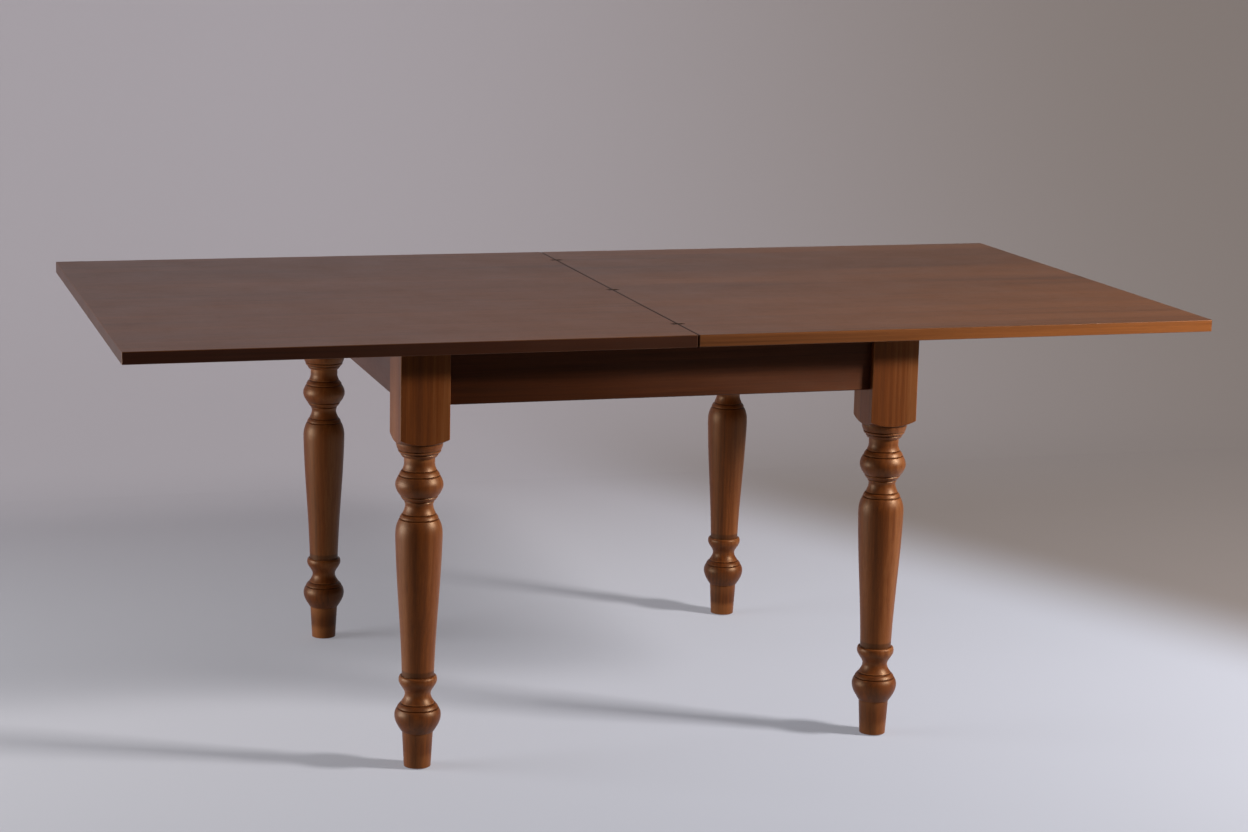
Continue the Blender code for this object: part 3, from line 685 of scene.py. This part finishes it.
def makeLegs():
    low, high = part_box("leg_front_left")
    boltLow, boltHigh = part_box("hanger_bolt_front_left")
    glideLow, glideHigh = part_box("glide_front_left")
    inward = Vector((1.0, 1.0, 0.0)).normalized()  # from the front left leg to the middle of the frame
    block = high.x - low.x
    boltPlace = inward * (block / math.sqrt(2.0) - leg["boltPlay"])
    boltPlace.z = (boltLow.z + boltHigh.z) / 2.0
    turned = legTree().run(
        turningLine(legPoints()), sides=leg["sides"], block=block, edge=leg["blockEdge"],
        top=(0.0, 0.0, high.z), recess=(glideHigh.x - glideLow.x) / 2.0 + leg["recessPlay"],
        boltPlace=tuple(boltPlace), boltTurn=tuple(inward.to_track_quat("Z", "Y").to_euler()),
        boltRadius=leg["boltRadius"] + leg["boltPlay"])
    for quarter, corner in enumerate(corners):
        low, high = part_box("leg_" + corner)
        middle = (low + high) / 2.0
        heartX, heartY = leg["hearts"][corner]
        # each leg gets its painted lit sides, turned its own way
        wood = woodFinish("legWood_" + corner, "z", (middle.x + heartX, middle.y + heartY), "leg",
                          leg["satin"], gloss=leg["gloss"],
                          post=(middle.x, middle.y, math.radians(leg["paintedLightFacing"][corner])))
        mesh = turned.copy()
        mesh.materials.clear()
        quarterTurn = Matrix.Rotation(quarter * math.pi / 2, 4, "Z")
        mesh.transform(Matrix.Translation((middle.x, middle.y, 0.0)) @ quarterTurn)
        mesh = evenShade(mesh, leg["smooth"])
        piece("leg_" + corner + "_turned", mesh, wood, "frame", "turned_wood", "leg_" + corner)
    print("legs turned:", len(turned.polygons), "faces each")


makeLegs()


# leaves of the top

leaf = {
    "corner": (0.0020, 3),  # width and steps of the rounded edges
    "arris": (0.0015, 6),
    "foot": (0.0010, 3),
    "pocketGap": 0.0003,
    "pocketSteps": 24,
    "pocketPast": 0.003,  # how far the cutter runs past the seam
    "pocketRise": 0.03,
    "facing": 0.8,  # part of a normal along an axis from which a face counts as facing that way
    "edgeToneRise": 1.6,  # power by which the edge tone, and on the flip leaf its painted light, grows from the seam to the end
    "seamReach": 0.0032,  # the rounded edges in the seam get painted shade, dark as the gap between the leaves
    "seamShade": -0.5,
    "seamShare": {"sliding_leaf": 0.90, "flip_leaf": 0.0},  # strength of the edge tone beside the seam, painted shade on the sliding leaf
    "endShare": {"sliding_leaf": 0.80, "flip_leaf": 0.0},  # and on the end grain
}


def levelEdges(bm, height):
    return [e for e in bm.edges if all(abs(v.co.z - height) < easing["touch"] for v in e.verts)]


def pocketCutter(cup):
    # the let-in for a hinge cup, with its round end away from the seam
    low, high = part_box(cup)
    gap = leaf["pocketGap"]
    inward = -1.0 if high.x < 0.0 else 1.0
    half = (high.y - low.y) / 2.0 + gap
    centreX = (high.x if inward > 0 else low.x) - inward * (half - gap)
    centreY = (low.y + high.y) / 2.0
    past, steps = -inward * leaf["pocketPast"], leaf["pocketSteps"]
    outline = [(past, centreY - half)]
    for step in range(steps + 1):
        angle = -math.pi / 2.0 + math.pi * step / steps
        outline.append((centreX + inward * half * math.cos(angle), centreY + half * math.sin(angle)))
    outline.append((past, centreY + half))
    bm = bmesh.new()
    floor = bm.faces.new([bm.verts.new((x, y, low.z - gap)) for x, y in outline])
    raised = bmesh.ops.extrude_face_region(bm, geom=[floor])["geom"]
    roof = [part for part in raised if isinstance(part, bmesh.types.BMVert)]
    bmesh.ops.translate(bm, vec=(0.0, 0.0, leaf["pocketRise"]), verts=roof)
    return objectOf(closedMesh(bm, "pocket"), "pocket")


def makeLeaf(node, body, wood):
    low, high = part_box(node)
    bm = bmesh.new()
    bmesh.ops.create_cube(bm, size=1.0)
    for vert in bm.verts:
        vert.co = Vector([high[i] if vert.co[i] > 0 else low[i] for i in range(3)])
    upright = [e for e in bm.edges if e.verts[0].co.z != e.verts[1].co.z]
    roundOff(bm, upright, *leaf["corner"])
    roundOff(bm, levelEdges(bm, high.z), *leaf["arris"])
    roundOff(bm, levelEdges(bm, low.z), *leaf["foot"])
    mesh = closedMesh(bm, node + "_board")
    side = "sliding" if node == "sliding_leaf" else "flip"
    cutters = [pocketCutter(f"hinge_cup_{hinge}_{side}") for hinge in hinges]
    cut = {"operation": "DIFFERENCE", "solver": "EXACT"}
    mesh = withModifiers(mesh, *[("BOOLEAN", {**cut, "object": cutter}) for cutter in cutters])
    for cutter in cutters:
        bpy.data.objects.remove(cutter)
    mesh = evenShade(mesh)
    lipping = mesh.attributes.new("lipping", "FLOAT", "CORNER")
    seamShare, facing = leaf["seamShare"][node], leaf["facing"]
    for face in mesh.polygons:
        for loop in face.loop_indices:
            out = abs(mesh.vertices[mesh.loops[loop].vertex_index].co.x) / (high.x - low.x)
            # painted shade on the sliding leaf and painted light on the flip leaf along the long edges,
            # growing from the seam to the end; a darker end grain
            if abs(face.normal.y) > facing:
                lipping.data[loop].value = seamShare + (1.0 - seamShare) * out ** leaf["edgeToneRise"]
            elif abs(face.normal.x) > facing and out > 0.5:
                lipping.data[loop].value = leaf["endShare"][node]
    piece(node + "_board", mesh, wood, body, "top_wood", node)
    # painted shade in the seam: its faces are marked as a groove, so the wood there turns darker
    wearAndShade = mesh.attributes["edgeWear"].data
    for face in mesh.polygons:
        if abs(face.center.x) < leaf["seamReach"]:
            for corner in face.loop_indices:
                wearAndShade[corner].value = leaf["seamShade"]


makeLeaf("sliding_leaf", "sliding_top", leftLeafWood)
makeLeaf("flip_leaf", "folding_leaf", rightLeafWood)
print("leaves made")


# boards and small parts whose edges are only eased

for edge in ("front", "back", "left", "right"):
    wood = longApronShadedWood if edge in ("front", "back") else sideApronShadedWood
    apron, strip = "apron_" + edge, "felt_strip_" + edge
    easedPiece(apron + "_board", apron, easing["apron"], wood, "frame", "apron_wood")
    easedPiece("felt_" + edge, strip, easing["felt"], felt, "frame", "felt")
for corner in corners:
    block = "corner_block_" + corner
    easedPiece(block + "_eased", block, easing["block"], frameWood, "frame", "frame_wood")
for depth in ("front", "back"):
    rail, runner = "slide_rail_" + depth, "runner_" + depth
    easedPiece("rail_" + depth, rail, easing["block"], frameWood, "frame", "frame_wood")
    easedPiece(runner + "_eased", runner, easing["block"], frameWood, "sliding_top", "frame_wood")
print("boards and blocks eased")


# link hinges: cups with a slot for the link, drawn on the right of the seam, and links with two round ends

linkHinge = {
    "play": 0.0004,
    "bore": 0.0014,
    "boreSides": 32,
    "arris": 0.0022,
    "ease": 0.00022,
    "arcSteps": 16,
    "spare": 0.0010,  # how far outlines run past the faces they are cut by
}


def arcLine(centre, radius, first, last):
    steps = linkHinge["arcSteps"]
    angles = [math.radians(first + (last - first) * step / steps) for step in range(steps + 1)]
    return [(centre[0] + radius * math.cos(angle), centre[1] + radius * math.sin(angle)) for angle in angles]


def flatFace(points, level, upright):
    # upright faces lie across y and look along it, the others lie level and look up
    verts = [(x, level, z) for x, z in reversed(points)] if upright else [(x, y, level) for x, y in points]
    mesh = bpy.data.meshes.new("flatFace")
    mesh.from_pydata(verts, [], [list(range(len(verts)))])
    return objectOf(mesh, "flatFace")


def hingeBore(tree, place):
    rod = tree.rod(linkHinge["boreSides"], tree.input("bore"), tree.input("reach"))
    return tree.moved(rod, place, (math.pi / 2.0, 0.0, 0.0))


def cupTree():
    tree = Growth("hingeCups", section="Object", outline="Object", slot="Object", reach="Float",
                  height="Float", slotWidth="Float", bore="Float", pivot="Vector")
    section = tree.slab("section", (0.0, 1.0, 0.0), tree.input("reach"))
    outline = tree.slab("outline", (0.0, 0.0, 1.0), tree.input("height"))
    slot = tree.slab("slot", (0.0, 1.0, 0.0), tree.input("slotWidth"))
    body = tree.boolean("INTERSECT", section, [outline])
    tree.end(tree.placed(tree.boolean("DIFFERENCE", body, [slot, hingeBore(tree, tree.input("pivot"))])))
    return tree


def linkTree():
    tree = Growth("hingeLinks", outline="Object", thickness="Float", reach="Float", bore="Float",
                  left="Vector", right="Vector")
    plate = tree.slab("outline", (0.0, 1.0, 0.0), tree.input("thickness"))
    eyes = [hingeBore(tree, tree.input(side)) for side in ("left", "right")]
    tree.end(tree.placed(tree.boolean("DIFFERENCE", plate, eyes)))
    return tree


def hingeSpots(turn):
    boxes = [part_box("hinge_link_" + hinge) for hinge in hinges]
    middles = [(0.0, (low.y + high.y) / 2.0, 0.0) for low, high in boxes]
    return turnedSpots(middles, [0.0, 0.0, turn] * len(boxes))


def makeHinges():
    cupLow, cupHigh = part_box("hinge_cup_middle_flip")
    linkLow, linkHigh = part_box("hinge_link_middle")
    spare, arris = linkHinge["spare"], linkHinge["arris"]
    linkRadius = (linkHigh.z - linkLow.z) / 2.0
    slotRadius = linkRadius + linkHinge["play"]
    pivotX, pivotZ = linkHigh.x - linkRadius, (linkLow.z + linkHigh.z) / 2.0
    half = (cupHigh.y - cupLow.y) / 2.0
    halfSlot = linkHigh.y + linkHinge["play"]
    section = [(cupLow.x, cupLow.z), (cupHigh.x + spare, cupLow.z), (cupHigh.x + spare, cupHigh.z),
               *arcLine((cupLow.x + arris, cupHigh.z - arris), arris, 90, 180)]
    outline = [(cupLow.x - spare, -half), *arcLine((cupHigh.x - half, 0.0), half, -90, 90),
               (cupLow.x - spare, half)]
    slot = [(-cupLow.x, pivotZ - slotRadius), *arcLine((pivotX, pivotZ), slotRadius, -90, 0),
            (pivotX + slotRadius, cupHigh.z + spare), (-cupLow.x, cupHigh.z + spare)]
    plate = arcLine((pivotX, pivotZ), linkRadius, -90, 90) + arcLine((-pivotX, pivotZ), linkRadius, 90, 270)
    faces = [flatFace(section, -half - spare, True), flatFace(outline, cupLow.z - spare, False),
             flatFace(slot, -halfSlot, True), flatFace(plate, linkLow.y, True)]
    cups, links = cupTree(), linkTree()
    reach = 2.0 * (half + spare)
    for side, body, turn in (("sliding", "sliding_top", math.pi), ("flip", "folding_leaf", 0.0)):
        mesh = cups.run(
            hingeSpots(turn), section=faces[0], outline=faces[1], slot=faces[2], reach=reach,
            height=cupHigh.z - cupLow.z + 2.0 * spare, slotWidth=2.0 * halfSlot,
            bore=linkHinge["bore"], pivot=(pivotX, 0.0, pivotZ), material=bronze)
        name, cupNames = "hingeCups_" + side, [f"hinge_cup_{hinge}_{side}" for hinge in hinges]
        piece(name, eased(mesh, name, linkHinge["ease"]), bronze, body, "bronze", *cupNames)
    mesh = links.run(
        hingeSpots(0.0), outline=faces[3], thickness=linkHigh.y - linkLow.y, reach=reach,
        bore=linkHinge["bore"], left=(-pivotX, 0.0, pivotZ), right=(pivotX, 0.0, pivotZ), material=bronze)
    mesh = eased(mesh, "hingeLinks", linkHinge["ease"])
    piece("hingeLinks", mesh, bronze, "hinge_links", "bronze", *["hinge_link_" + hinge for hinge in hinges])
    for face in faces:
        bpy.data.objects.remove(face)


makeHinges()
print("hinges made")


# small turned hardware: a profile is turned, threaded where it needs it, and set at every place

smallParts = {  # profiles are radius and height from the foot, lengths are in millimetres
    "glide": {
        "sides": 48,
        "profile": [(14.4, 0.0), (15.3, 0.12), (15.85, 0.55), (16.0, 1.2), (16.0, 5.4), (15.4, 6.0)],
    },
    "bumper": {
        "sides": 40,
        "profile": [(8.7, 0.0), (9.0, 0.3), (9.0, 0.9), (8.6, 1.6), (7.5, 4.7), (7.1, 5.5), (6.2, 6.0)],
    },
    "pin": {"sides": 24, "radius": 1.25, "ease": 0.2},
    "bolt": {
        "sides": 32, "radius": 4.0, "pitch": 1.25, "threadDepth": 0.65,
        "ease": 1.0, "threadLength": 34.0,
    },
    "screw": {
        "sides": 28, "radius": 2.0, "pitch": 1.9, "threadDepth": 0.5,
        "headRadius": 4.0, "headRim": 0.35, "headHeight": 3.0,
        "recess": (4.2, 0.85, 2.4),  # length, width and depth of the cross
        "threadStart": 0.40,  # share of the length
        "point": 5.0, "pointSteps": 8, "tipRadius": 0.08, "tipPlain": 1.0,
    },
    "ringsPerTurn": 6.0,
    "smooth": 30.0,  # degrees
}
flangeNut = {
    "sizes": {"flats": 0.013, "height": 0.009, "flangeRadius": 0.0088, "flangeTop": 0.0079,
              "flangeHeight": 0.0025, "bore": 0.0043},
    "sides": 48,
    "boreSides": 32,
    "boreLength": 0.05,
    "crown": (1.62, 0.515),  # times the width over the flats, at the foot and at the top
    "tail": 0.006,  # of the bolt, past the nut
}


def turnedPartTree(name, recess=None):
    tree = Growth(name, profile="Object", sides="Int", pitch="Float", depth="Float", threadLow="Float",
                  threadHigh="Float")
    body = tree.lathe(tree.shape("profile"), tree.input("sides"))
    x, y, z = tree.split(tree.grow("InputPosition"))
    pitch, low, high = (tree.input(key) for key in ("pitch", "threadLow", "threadHigh"))
    winding = (z / pitch - y.maths("ARCTAN2", y, x) / (2.0 * math.pi)).apply("FRACT")
    groove = 1.0 - ((winding - 0.5) * 2.0).apply("ABSOLUTE")
    threaded = z.between(low, low + pitch) * (1.0 - z.between(high - pitch, high))
    share = groove * threaded * tree.input("depth") / (x * x + y * y) ** 0.5
    inward = tree.vector(0.0 - x * share, 0.0 - y * share, 0.0)
    body = tree.grow("SetPosition", Geometry=body, Offset=inward)
    if recess:
        long, wide, deep = (size / 1000.0 for size in recess)
        blades = [tree.grow("MeshCube", Size=(*size, 2.0 * deep)) for size in ((long, wide), (wide, long))]
        body = tree.boolean("DIFFERENCE", body, blades)
    tree.end(tree.placed(body))
    return tree


def nutTree():
    tree = Growth("flangeNuts", **dict.fromkeys(flangeNut["sizes"], "Float"))
    height, flats, sides = tree.input("height"), tree.input("flats"), flangeNut["sides"]
    hexagon = tree.moved(tree.rod(6, flats / math.sqrt(3.0), height), tree.vector(0.0, 0.0, height * 0.5))
    crown = tree.cone(sides, *[flats * times for times in flangeNut["crown"]], height)
    flange = tree.cone(sides, tree.input("flangeRadius"), tree.input("flangeTop"),
                       tree.input("flangeHeight"))
    bore = tree.rod(flangeNut["boreSides"], tree.input("bore"), flangeNut["boreLength"])
    crowned = tree.boolean("INTERSECT", hexagon, [crown])
    whole = tree.boolean("UNION", crowned, [flange])
    tree.end(tree.placed(tree.boolean("DIFFERENCE", whole, [bore])))
    return tree


def threadRings(low, high, radius, spacing):
    count = math.ceil((high - low) / spacing)
    return [(radius, low + (high - low) * step / count) for step in range(count + 1)]


def smallPart(name, body, slotName, finish, part, points, places, nodeNames, thread=(0.0, 1.0)):
    # part may have a recess and a thread, which lies between two heights
    line = turningLine([(radius / 1000.0, height / 1000.0) for radius, height in points])
    profile = objectOf(line, "profile")
    mesh = turnedPartTree(name, part.get("recess")).run(
        facingSpots(places), profile=profile, sides=part["sides"], pitch=part.get("pitch", 1.0) / 1000.0,
        depth=part.get("threadDepth", 0.0) / 1000.0, threadLow=thread[0] / 1000.0,
        threadHigh=thread[1] / 1000.0, material=finish)
    bpy.data.objects.remove(profile)
    piece(name, evenShade(mesh, smallParts["smooth"]), finish, body, slotName, *nodeNames)


def standing(boxes):
    # places on the floor of each box, pointing up
    return [(((low.x + high.x) / 2, (low.y + high.y) / 2, low.z), (0, 0, 1)) for low, high in boxes]


def makeGlides():
    glide = smallParts["glide"]
    names = ["glide_" + corner for corner in corners]
    places = standing([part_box(name) for name in names])
    smallPart("footGlides", "frame", "glide", nylon, glide, glide["profile"], places, names)


def makeBumpers():
    names = ["stop_bumper_" + end for end in railEnds]
    places = []
    for name in names:
        low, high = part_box(name)
        middle = (low + high) / 2.0
        foot, facing = (high.x, (-1, 0, 0)) if name.endswith("right") else (low.x, (1, 0, 0))
        places.append(((foot, middle.y, middle.z), facing))
    bumper = smallParts["bumper"]
    smallPart("stopBumpers", "frame", "rubber", rubber, bumper, bumper["profile"], places, names)


def makePins():
    pin = smallParts["pin"]
    for side, body in (("sliding", "sliding_top"), ("flip", "folding_leaf")):
        names = [f"hinge_pin_{hinge}_{side}" for hinge in hinges]
        places = []
        for low, high in (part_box(name) for name in names):
            places.append((((low.x + high.x) / 2, low.y, (low.z + high.z) / 2), (0, 1, 0)))
            length = (high.y - low.y) * 1000.0
        thin, ease = pin["radius"] - pin["ease"], pin["ease"]
        points = [(thin, 0.0), (pin["radius"], ease), (pin["radius"], length - ease), (thin, length)]
        smallPart("hingePins_" + side, body, "steel", zincSteel, pin, points, places, names)


def makeScrews():
    screw = smallParts["screw"]
    names = ["runner_screw_" + end for end in railEnds]
    boxes = [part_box(name) for name in names]
    length = (boxes[0][1].z - boxes[0][0].z) * 1000.0
    start, tip = length * screw["threadStart"], length - screw["point"]
    points = [(screw["headRadius"], 0.0), (screw["headRadius"], screw["headRim"]),
              (screw["radius"], screw["headHeight"])]
    points += threadRings(start, tip, screw["radius"], screw["pitch"] / smallParts["ringsPerTurn"])
    for step in range(1, screw["pointSteps"] + 1):
        share = step / screw["pointSteps"]
        points.append((screw["radius"] * (1.0 - share) + screw["tipRadius"], tip + screw["point"] * share))
    smallPart("runnerScrews", "sliding_top", "steel", zincSteel, screw, points, standing(boxes), names,
              (start, length - screw["tipPlain"]))


def makeBolts():
    bolt = smallParts["bolt"]
    names = ["hanger_bolt_" + corner for corner in corners]
    lean = math.sqrt(0.5)
    boltPlaces, nutPlaces = [], []
    for corner, name in zip(corners, names):
        low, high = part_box(name)
        inward = Vector((lean if "left" in corner else -lean, lean if "front" in corner else -lean, 0.0))
        radius = (high.z - low.z) / 2.0
        length = (high.x - low.x) / lean - 2.0 * radius + 2.0 * bolt["ease"] / 1000.0
        middle = (low + high) / 2.0
        boltPlaces.append((middle - inward * length / 2.0, inward))
        nutBase = length / 2.0 - flangeNut["tail"] - flangeNut["sizes"]["height"]
        nutPlaces.append((middle + inward * nutBase, inward))
    length *= 1000.0
    thin, ease = bolt["radius"] - bolt["ease"], bolt["ease"]
    start, spacing = length - bolt["threadLength"], bolt["pitch"] / smallParts["ringsPerTurn"]
    points = [(thin, 0.0), (bolt["radius"], ease)]
    points += threadRings(start, length - ease, bolt["radius"], spacing) + [(thin, length)]
    smallPart("hangerBolts", "frame", "steel", zincSteel, bolt, points, boltPlaces, names,
              (start, length + bolt["pitch"]))
    mesh = nutTree().run(facingSpots(nutPlaces), material=zincSteel, **flangeNut["sizes"])
    nutNames = ["flange_nut_" + corner for corner in corners]
    piece("flangeNuts", evenShade(mesh, smallParts["smooth"]), zincSteel, "frame", "steel", *nutNames)


for make in (makeGlides, makeBumpers, makePins, makeScrews, makeBolts):
    make()
print("small hardware made")


# studio: a pale paper sweep with painted light in its glow, a soft key from the right, a soft panel on the
# left, a room dim in front

studio = {
    # tones are the paper's colour under the lamps, and glows are the light it gives off to the camera and to
    # mirror rays; both carry painted light: a painted pool of light at the front right (poolGlow), painted
    # fall-off towards the camera (frontGlow), painted shade to the right (rightTone, rightGlow), and paler
    # paper on the left (leftTone) against the key's fall-off
    "floorTone": (0.405, 0.412, 0.462),
    "leftTone": (0.510, 0.506, 0.542),
    "backTone": (0.350, 0.330, 0.348),
    "rightTone": (0.170, 0.146, 0.136),
    "nearTone": (0.090, 0.085, 0.090),  # painted shade ahead of the picture, where the dark of the room begins
    "floorGlow": (0.770, 0.755, 0.810),
    "poolGlow": (0.880, 0.890, 1.000),
    "frontGlow": (0.300, 0.305, 0.330),
    "backGlow": (0.585, 0.510, 0.560),
    "rightGlow": (0.500, 0.425, 0.395),
    "glowShare": 0.25,
    "paperRough": 0.9,
    "paperGloss": 0.1,
    "wallRange": (1.2, 2.6),  # ranges are places along x or y between which one tone gives way to the next
    "backRange": (0.2, 2.6),
    "frontRange": (0.0, 2.2),
    "rightFloor": (1.12, 1.70),
    "rightLean": 0.43,
    "rightWall": (-0.3, 3.0),
    "poolRange": (-1.6, 1.2),
    "poolLean": -0.8,
    "nearRange": (1.05, 1.60),
    "nearWay": (-0.295, -0.956),
    "wallPlace": 3.2,
    "wallTop": 7.0,
    "wallLift": 0.0005,
    "sweep": 1.4,
    "sweepSteps": 24,
    "edge": 60.0,
    "roomTint": (1.0, 0.985, 0.985),
    # edge is the pale band at the far edge of the floor, right is how much the back dims that way
    "roomShares": {"front": 0.03, "edge": 0.10, "back": 0.27, "left": 0.10, "above": 0.10, "right": 0.62},
    "roomRanges": {"edge": (0.0, 0.25), "back": (-0.6, 0.7), "right": (-0.1, 0.6), "left": (0.1, 1.0),
                   "above": (0.15, 1.0)},
    "lamps": {  # place, aim, width and height, watts, spread in degrees, colour
        "key": ((3.2, -2.05, 2.46), (0.3, -0.1, 0.4), (0.62, 0.62), 260.0, 180.0, (1.0, 0.985, 0.97)),
        "leftPanel": ((-4.0, 0.4, 0.8), (-0.3, 0.0, 0.55), (2.2, 1.4), 130.0, 180.0, (0.94, 0.97, 1.0)),
    },
}


def paperFinish():
    # lit as paper, with a painted glow where it is looked at or mirrored, and seen from its front only
    paper = Finish("studioPaper")
    x, y, z = paper.split(paper.here())
    wall, back = y.between(*studio["wallRange"]), y.between(*studio["backRange"])
    # painted shade to the right, where the key's pool of light ends, on the floor and on the wall
    rightFloor = (x + studio["rightLean"] * y).between(*studio["rightFloor"])
    right = (1.0 - wall) * rightFloor + wall * x.between(*studio["rightWall"])
    # painted pool of the key's light towards the front right; on the left, paler paper evens out the key's
    # fall-off
    pool = (x + studio["poolLean"] * y).between(*studio["poolRange"])

    def tint(key):
        return colour(*studio[key])

    def spread(kind, front):
        return paper.mix(right, paper.mix(back, front, tint("back" + kind)), tint("right" + kind))

    rayKinds = ("Camera", "Glossy", "Transmission")
    camera, glossy, through = (paper.add("ShaderNodeLightPath", out=f"Is {ray} Ray") for ray in rayKinds)
    nearX, nearY = studio["nearWay"]
    # painted shade ahead of the picture: the paper turns dark there for all but camera rays, and stops
    # glowing for mirror rays
    near = (nearX * x + nearY * y).between(*studio["nearRange"])
    floorTone = spread("Tone", paper.mix(pool, tint("leftTone"), tint("floorTone")))
    paper.set(
        Base_Color=paper.mix(near * (1.0 - camera), floorTone, tint("nearTone")),
        Roughness=studio["paperRough"],
        Specular_IOR_Level=studio["paperGloss"],
    )
    nearGlow = paper.mix(pool, tint("floorGlow"), tint("poolGlow"))
    # painted fall-off of the glow towards the camera
    frontGlow = paper.mix((0.0 - y).between(*studio["frontRange"]), nearGlow, tint("frontGlow"))
    glow = paper.add("ShaderNodeEmission", {}, {"Color": spread("Glow", frontGlow)})
    seen = (camera + (glossy + through) * (1.0 - near)) * studio["glowShare"]
    lit = paper.add("ShaderNodeMixShader", {}, {0: seen, 1: Wire(paper, paper.shader.outputs[0]), 2: glow})
    behind = paper.add("ShaderNodeNewGeometry", out="Backfacing")
    clear = paper.add("ShaderNodeBsdfTransparent")
    oneSided = paper.add("ShaderNodeMixShader", {}, {0: behind, 1: lit, 2: clear})
    paper.feed(paper.nodes["Material Output"].inputs["Surface"], oneSided)
    return paper.material


def makeStage():
    edge, radius, steps = studio["edge"], studio["sweep"], studio["sweepSteps"]
    paper = paperFinish()
    profile = []
    for step in range(steps + 1):
        angle = math.pi / 2.0 * step / steps
        away = radius - radius * math.sin(angle)
        profile.append((studio["wallPlace"] - away, radius - radius * math.cos(angle)))
    profile.append((studio["wallPlace"], studio["wallTop"]))
    floorVerts = [(-edge, -edge, 0.0), (edge, -edge, 0.0), (edge, edge, 0.0), (-edge, edge, 0.0)]
    wallVerts = [(x, y, z + studio["wallLift"]) for y, z in profile for x in (-edge, edge)]
    wallFaces = [(2 * i, 2 * i + 1, 2 * i + 3, 2 * i + 2) for i in range(len(profile) - 1)]
    sheets = {"studioFloor": (floorVerts, [(0, 1, 2, 3)]), "studioWall": (wallVerts, wallFaces)}
    for name, (verts, faces) in sheets.items():
        mesh = bpy.data.meshes.new(name)
        mesh.from_pydata(verts, [], faces)
        mesh.shade_smooth()
        mesh.materials.append(paper)
        objectOf(mesh, name)


def makeLights():
    world = bpy.data.worlds.new("room")
    bpy.context.scene.world = world
    world.use_nodes = True
    room = Tree(world.node_tree)
    x, y, z = room.split(room.add("ShaderNodeTexCoord", out="Generated"))
    shares, ranges = studio["roomShares"], studio["roomRanges"]
    back = y.between(*ranges["back"]) * (1.0 - shares["right"] * x.between(*ranges["right"]))
    strength = shares["front"] + shares["edge"] * (1.0 - z.between(*ranges["edge"]))
    strength = strength + shares["back"] * back
    strength = strength + shares["left"] * (0.0 - x).between(*ranges["left"])
    strength = strength + shares["above"] * z.between(*ranges["above"])
    sky = world.node_tree.nodes["Background"]
    sky.inputs["Color"].default_value = colour(*studio["roomTint"])
    room.feed(sky.inputs["Strength"], strength)
    for name, (place, aim, size, watts, spread, tint) in studio["lamps"].items():
        data = bpy.data.lights.new(name, "AREA")
        data.shape = "RECTANGLE"
        data.size, data.size_y = size
        data.energy = watts
        data.spread = math.radians(spread)
        data.color = tint
        lamp = objectOf(data, name)
        lamp.location = place
        lamp.rotation_euler = (Vector(aim) - Vector(place)).to_track_quat("-Z", "Y").to_euler()


view = {  # metres, degrees and millimetres
    "place": (-1.5644, -5.1647, 1.6041),
    "yaw": 17.1395,
    "down": 11.2246,
    "roll": 1.267,
    "lens": 81.908,
    "sensor": 36.0,
}


def makeCamera():
    yaw, down, roll = (math.radians(view[key]) for key in ("yaw", "down", "roll"))
    place = Matrix.Translation(view["place"])
    for angle, axis in ((-yaw, "Z"), (math.pi / 2.0 - down, "X"), (roll, "Z")):
        place = place @ Matrix.Rotation(angle, 4, axis)
    data = bpy.data.cameras.new("camera")
    data.sensor_width = view["sensor"]
    data.lens = view["lens"]
    camera = objectOf(data, "camera")
    camera.matrix_world = place
    bpy.context.scene.camera = camera


makeStage()
makeLights()
makeCamera()
bpy.context.scene.view_settings.view_transform = "Standard"
print("studio ready")
